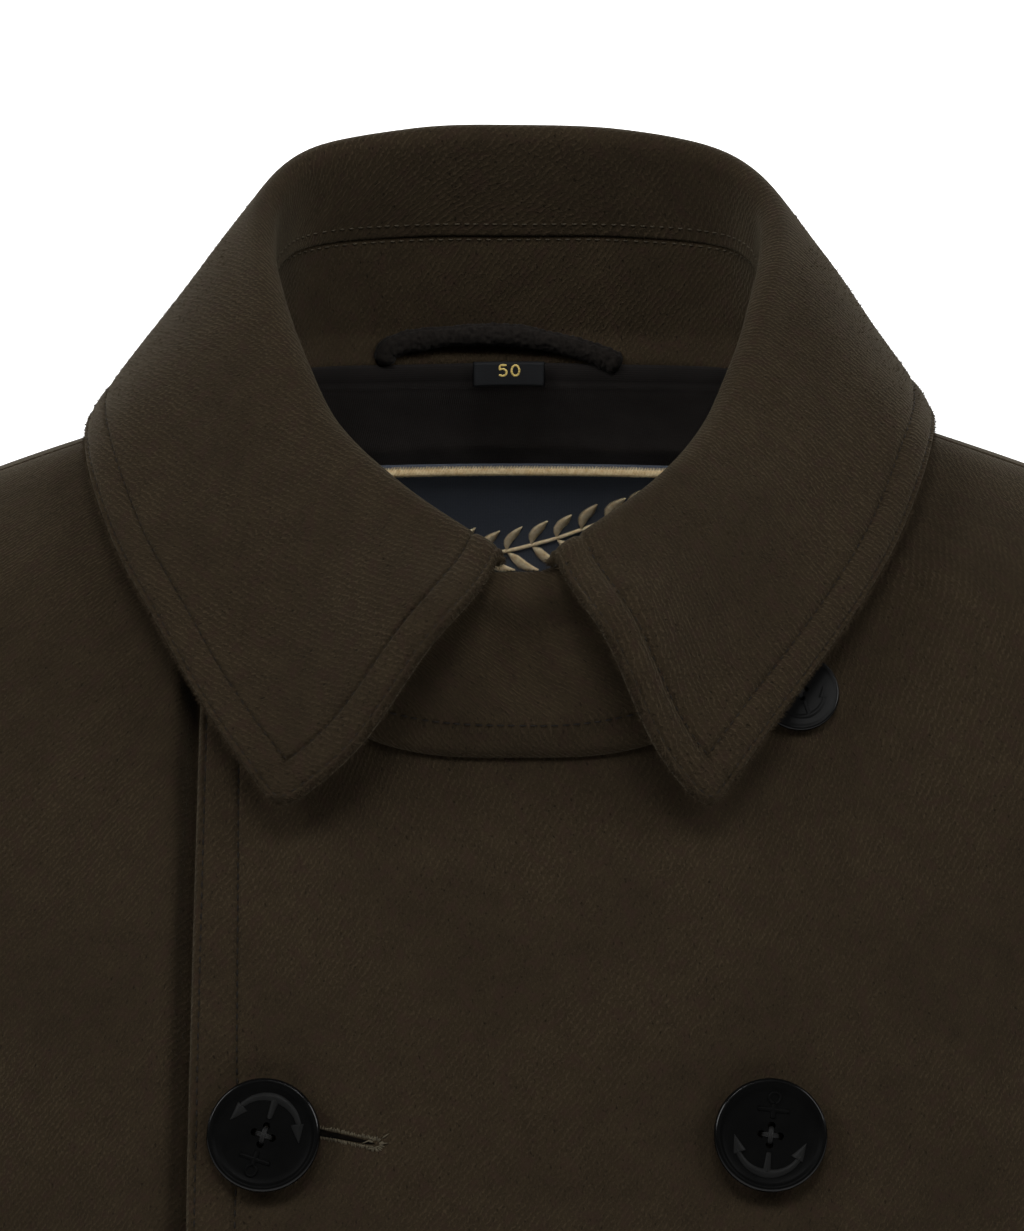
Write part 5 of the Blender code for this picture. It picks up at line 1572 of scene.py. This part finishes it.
def button(name, body, x, z, turn_deg, radius, thick, hole_r, hole_off, relief, dish, raised=None):
    p = front_point(x, z)
    n = Vector(normal_at(p))
    spot = Vector(p) + n * (CLOTH + 0.0006)
    place = Matrix.Translation(spot) @ n.to_track_quat("Z", "Y").to_matrix().to_4x4() @ Matrix.Rotation(math.radians(turn_deg), 4, "Z")
    obj = link(bpy.data.objects.new(name + "_disc", body))
    obj.matrix_world = place
    piece(obj, "button", name)
    face = thick * (dish + 0.02 * (1 - dish))
    ways = [(-1, 0, 1, 0), (0, -1, 0, 1)]
    starts, ends, lifts = [], [], []
    for k, (ax, ay, bx, by) in enumerate(ways):
        for s in (-0.4, 0.0, 0.4):
            side = np.array([-(by - ay), bx - ax]) / 2 * s * hole_r
            starts.append((ax * hole_off + side[0], ay * hole_off + side[1], face - 0.0005 + 0.0001 * k))
            ends.append((bx * hole_off + side[0], by * hole_off + side[1], face - 0.0005 + 0.0001 * k))
    tv, tf = thread_mesh(starts, ends, np.repeat([[0, 0, 1.0]], len(starts), 0), 0.00034, 0.0012, rings=9, sides=6)
    thread = mesh_object(name + "_thread", tv, tf, BUTTON_THREAD)
    thread.matrix_world = place
    piece(thread, "button")
    # Unless another finish is given (the small button uses its own horn), the arms take the lighter painted-highlight
    # finish; the head (stock, ring, upper shank) keeps the dark button finish and shows only by its shading.
    if relief:
        for part, (rv, rf), finish in zip(("arms", "head"), anchor(relief, face - 0.0002, face + (0.00036 if dish < 0.9 else 0.00010)), (raised or ANCHOR_GLINT, BUTTON)):
            mark = mesh_object(f"{name}_anchor_{part}", rv, rf, finish)
            mark.matrix_world = place
            piece(mark, "button")
    return obj


LARGE = button_body("large_button", BUTTON_R, BUTTON_T, 0.00105, 0.0027, BUTTON, 0.74)
SMALL = button_body("small_button", SMALL_R, SMALL_T, 0.0008, 0.0020, SMALL_HORN, 0.93)
TURNS = ((163, -9), (35, 128), (-60, 14))
for row in range(BUTTON_ROWS):
    level = BUTTON_TOP_Z - BUTTON_PITCH * row
    button(f"button_right_{row + 1}", LARGE, -BUTTON_X, level, TURNS[row][0], BUTTON_R, BUTTON_T, 0.00105, 0.0027, 1.05, 0.74)
    button(f"button_left_{row + 1}", LARGE, BUTTON_X, level, TURNS[row][1], BUTTON_R, BUTTON_T, 0.00105, 0.0027, 1.05, 0.74)
button("button_collar", SMALL, SMALL_X, SMALL_Z, 20, SMALL_R, SMALL_T, 0.0008, 0.0020, 0.72, 0.93, SMALL_HORN)


# --------------------------------------------------------------- stitching
def nearest(values, goal):
    return int(np.argmin(np.abs(np.asarray(values) - goal)))


def topstitching():
    parts = []
    for grid, normal in ((FL_OUT, FL_N),):
        for goal in (EDGE_STITCH, BAND_STITCH):
            k = nearest(EDGE_MM, goal)
            keep = (grid[k, :, 2] < -0.075)
            parts.append(run_of_stitches(grid[k][keep], normal[k][keep], STITCH_PITCH, 0.80, 0.00026, 0.00042))
    last = FALL_OUT.shape[1] - 1
    cols = FALL_OUT.shape[0] - 1
    start = 14
    rows = []
    for goal in (LEAF_STITCH, LEAF_BAND):
        k = nearest(LEAF_MM, goal)
        path = [(k, j) for j in range(start, last - k)] + [(i, last - k) for i in range(k, cols - k)]
        path += [(cols - k, j) for j in range(last - k, start, -1)]
        i, j = np.array(path).T
        rows.append(run_of_stitches(FALL_OUT[i, j], FALL_N[i, j], STITCH_PITCH, 0.72, 0.00019, 0.00026, 0.12))
    verts, faces = joined(rows)
    piece(mesh_object("collar_topstitching", verts, faces, SOFT_THREAD), "wool")
    rows = STAND_DOWN[STAND_DOWN.shape[0] // 2]
    k = nearest(rows, 0.0080)
    ahead = STAND_P[:, k, 1] < -0.02
    top = np.arange(len(ahead)) > len(ahead) // 2
    use = ahead & top
    parts.append(run_of_stitches(STAND_OUT[use, k], STAND_N[use, k], STITCH_PITCH, 0.8, 0.00025, 0.0004))
    verts, faces = joined(parts)
    return piece(mesh_object("topstitching", verts, faces, DARK_THREAD), "wool")


def collar_rows():
    """Two rows of tan stitches along the seam of stand and fall, inside the neck."""
    parts = []
    k = nearest(FALL_BASE[FALL_BASE.shape[0] // 2], 0.0040)
    rear = FALL_OUT[:, k, 1] > -0.02
    parts.append(run_of_stitches(FALL_OUT[rear, k], FALL_N[rear, k], 0.0029, 0.62, 0.00024, 0.00045, 0.10))
    k = nearest(STAND_UP[STAND_UP.shape[0] // 2], 0.0014)
    rear = STAND_IN[:, k, 1] > -0.02
    parts.append(run_of_stitches(STAND_IN[rear, k], -STAND_N[rear, k], 0.0029, 0.62, 0.00024, 0.00045, 0.10))
    verts, faces = joined(parts)
    return piece(mesh_object("collar_seam_stitches", verts, faces, TAN_THREAD), "wool")


def buttonholes():
    """Keyhole buttonholes: overcast edges round a slit painted as a near-black strip of shade, and an eye at the inner
    end.
    """
    parts, slits = [], []
    rng = np.random.default_rng(23)
    for row in range(BUTTON_ROWS):
        x_out, x_in = -BUTTON_X - 0.004, -0.0395
        level = BUTTON_TOP_Z - BUTTON_PITCH * row

        def sag(xx):
            return level + 0.0014 - 0.19 * (xx + BUTTON_X - 0.016)
        z0 = sag(x_in)
        t = np.arange(0, 1, 0.012)
        x = x_out + (x_in - x_out) * t

        def on(xx, zz, lift):
            p = front_point(xx, zz)
            return p + normal_at(p) * (CLOTH + lift - pulled_in(xx, zz))[..., None]
        starts, ends, normals = [], [], []
        for sign in (-1, 1):
            zz = sag(x) + sign * 0.00070
            reach = sign * rng.uniform(0.0008, 0.0015, len(t))
            starts.append(on(x, zz, -0.0001))
            ends.append(on(x + rng.uniform(-0.0001, 0.0005, len(t)), zz + reach, 0.0))
            normals.append(normal_at(front_point(x, zz)))
        # stitches fan out round the eye at the inner end
        eye = np.radians(np.linspace(-150, 150, 19) + rng.uniform(-7, 7, 19))
        long = rng.uniform(0.0019, 0.0030, 19)
        ex, ez = x_in + 0.0008 * np.cos(eye), z0 - 0.0001 + 0.0009 * np.sin(eye)
        starts.append(on(ex, ez, 0.0))
        ends.append(on(x_in + long * np.cos(eye + 0.25), z0 - 0.0001 + long * 0.85 * np.sin(eye + 0.25), 0.0))
        normals.append(normal_at(front_point(ex, ez)))
        # loose threads across it
        lx, lz = x_in + rng.uniform(-0.004, 0.002, 6), z0 + rng.uniform(-0.0018, 0.0018, 6)
        starts.append(on(lx, lz, 0.0002))
        ends.append(on(lx + rng.uniform(0.0015, 0.0034, 6), lz + rng.uniform(-0.0016, 0.0016, 6), 0.0003))
        normals.append(normal_at(front_point(lx, lz)))
        parts.append(thread_mesh(np.concatenate(starts), np.concatenate(ends), np.concatenate(normals),
                                 0.00019, 0.00045, rings=5, sides=5))
        # the slit: a thin near-black lens just over the cloth, painted shade for the gap
        s = np.linspace(0, 1, 40)
        xx = x_out + (x_in - x_out) * s
        zz = sag(xx)
        wide = 0.00095 * np.sqrt(np.maximum(0, 1 - (2 * s - 1) ** 8)) + 0.00002
        rows = [on(xx, zz + wide * k, h) for k, h in ((-1, -0.0002), (-0.5, 0.00012), (0, 0.0002), (0.5, 0.00012), (1, -0.0002))]
        p = np.stack(rows, 1)
        ids = np.arange(p.shape[0] * 5).reshape(-1, 5)
        faces = np.stack([ids[:-1, :-1], ids[1:, :-1], ids[1:, 1:], ids[:-1, 1:]], -1).reshape(-1, 4).tolist()
        rim = ids[:, 0].tolist() + ids[-1, 1:].tolist() + ids[-2::-1, -1].tolist() + ids[0, -2:0:-1].tolist()
        slits.append((p.reshape(-1, 3), faces + [rim[::-1]]))
    verts, faces = joined(parts)
    piece(mesh_object("buttonhole_edges", verts, faces, HOLE_THREAD), "wool")
    verts, faces = joined(slits)
    piece(mesh_object("buttonhole_slits", verts, faces, SLIT_SHADE), "wool")


topstitching()
collar_rows()
buttonholes()


def fuzz(name, spots, ways, sizes, thick=0.00008):
    """Short wool fibres: flat hairs that bend once."""
    rng = np.random.default_rng(len(spots))
    ways = unit(ways)
    side = unit(np.cross(ways, rng.normal(size=ways.shape))) * thick
    bend = unit(rng.normal(size=ways.shape)) * 0.35
    mid = spots + ways * (sizes * 0.5)[:, None]
    tip = mid + unit(ways + bend) * (sizes * 0.5)[:, None]
    verts = np.stack([spots - side, spots + side, mid + side * 0.8, mid - side * 0.8, tip], 1).reshape(-1, 3)
    k = np.arange(len(spots)) * 5
    faces = np.stack([k, k + 1, k + 2, k + 3], -1).tolist() + np.stack([k + 3, k + 2, k + 4], -1).tolist()
    return piece(mesh_object(name, verts, faces, FUZZ), "wool")


def edge_fibres(outer, normal, line, inward, per_mm, rng, low=0.0007, high=0.0021):
    """Fibres that stand out from one border of a grid of points."""
    a, b = outer[line], outer[inward]
    far = lengths(a)
    count = int(far[-1] * 1000 * per_mm)
    goal = rng.uniform(0, far[-1], count)

    def at(field):
        return np.stack([np.interp(goal, far, field[:, k]) for k in range(3)], -1)
    edge, inner, n = at(a), at(b), unit(at(normal[inward]))
    way = edge - inner
    way = unit(way - n * np.sum(way * n, -1, keepdims=True))
    run = unit(np.cross(way, n))
    share = rng.uniform(0.1, 0.9, (count, 1))
    ways = way * rng.uniform(0.4, 1.0, (count, 1)) + n * rng.uniform(-0.3, 0.7, (count, 1)) + run * rng.normal(0, 0.6, (count, 1))
    return edge + (inner - edge) * share, ways, rng.uniform(low, high, count)


def wool_fuzz():
    rng = np.random.default_rng(17)
    sets = []
    whole = slice(None)
    for line, inward in (((0, whole), (4, whole)), ((-1, whole), (-5, whole)), ((whole, -1), (whole, -5))):
        sets.append(edge_fibres(FALL_OUT, FALL_N, line, inward, 24, rng))
    sets.append(edge_fibres(FL_OUT, FL_N, (0, whole), (4, whole), 6, rng, 0.0005, 0.0014))
    half = STAND_OUT.shape[0] // 2
    front = slice(half, None)
    sets.append(edge_fibres(STAND_OUT[front], STAND_N[front], (whole, 0), (whole, 4), 8, rng, 0.0005, 0.0014))
    sets.append(edge_fibres(STAND_OUT[front], STAND_N[front], (whole, -1), (whole, -4), 8, rng, 0.0005, 0.0014))
    # nap over the turned-down leaf
    count = 23000
    i = rng.integers(2, FALL_OUT.shape[0] - 2, count)
    j = rng.integers(34, FALL_OUT.shape[1] - 2, count)
    spots, n = FALL_OUT[i, j], FALL_N[i, j]
    sets.append((spots - n * 0.0001, n * rng.uniform(0.25, 0.9, (count, 1)) + rng.normal(0, 0.6, (count, 3)),
                 rng.uniform(0.0006, 0.0016, count)))
    fuzz("wool_fuzz", *(np.concatenate(one) for one in zip(*sets)))


wool_fuzz()

# ------------------------------------------------------------------- stage
FLOOR_Z = -1.50
floor_mesh = bpy.data.meshes.new("floor")
bm = bmesh.new()
bmesh.ops.create_grid(bm, x_segments=8, y_segments=8, size=90.0)
bm.to_mesh(floor_mesh)
bm.free()
floor = link(bpy.data.objects.new("floor", floor_mesh))
floor.location.z = FLOOR_Z
mat, tree, skin = nodes_of("pale_floor")
where = add(tree, "ShaderNodeTexCoord").outputs["Object"]
tree.links.new(two_tone(tree, (0.93, 0.93, 0.93, 1), (0.96, 0.96, 0.96, 1), noise(tree, where, 3.0)), skin.inputs["Base Color"])
feed(tree, skin, Roughness=0.9, Specular_IOR_Level=0.0)
floor_mesh.materials.append(mat)

scene = bpy.context.scene
scene.view_settings.view_transform = "Standard"
scene.view_settings.look = "None"
world = bpy.data.worlds.new("studio")
scene.world = world
world.use_nodes = True
world.node_tree.nodes["Background"].inputs["Color"].default_value = (1.0, 1.0, 1.0, 1.0)
world.node_tree.nodes["Background"].inputs["Strength"].default_value = 0.04


def softbox(name, spot, aim, wide, high, watts, tint=(1.0, 1.0, 1.0)):
    lamp = bpy.data.lights.new(name, "AREA")
    lamp.shape, lamp.size, lamp.size_y, lamp.energy, lamp.color = "RECTANGLE", wide, high, watts, tint
    obj = link(bpy.data.objects.new(name, lamp))
    obj.location = spot
    obj.rotation_euler = (Vector(aim) - Vector(spot)).to_track_quat("-Z", "Y").to_euler()
    return obj


softbox("left_key", (-2.10, -1.30, 1.60), (0, -0.06, -0.08), 1.3, 1.3, 37.5)
softbox("right_key", (2.10, -1.30, 1.60), (0, -0.06, -0.08), 1.3, 1.3, 34.5)
softbox("top_box", (0.0, -2.10, 2.35), (0, -0.02, 0.0), 1.4, 0.8, 50)
softbox("low_fill", (0.0, -2.60, -0.95), (0, 0.0, -0.03), 1.4, 0.8, 0.8)
softbox("floor_box", (0.0, 22.0, 6.0), (0.0, 22.0, FLOOR_Z), 60.0, 34.0, 18000)

CAM_ELEV, CAM_FAR, CAM_LENS = math.radians(10.0), 2.6, 271.5
CAM_AIM = Vector((-0.0014, -0.10, -0.0516))
camera_data = bpy.data.cameras.new("camera")
camera_data.sensor_fit = "AUTO"
camera_data.sensor_width = 36.0
camera_data.lens = CAM_LENS
camera = link(bpy.data.objects.new("camera", camera_data))
camera.location = CAM_AIM + Vector((0, -math.cos(CAM_ELEV), math.sin(CAM_ELEV))) * CAM_FAR
camera.rotation_euler = (CAM_AIM - camera.location).to_track_quat("-Z", "Y").to_euler()
scene.camera = camera
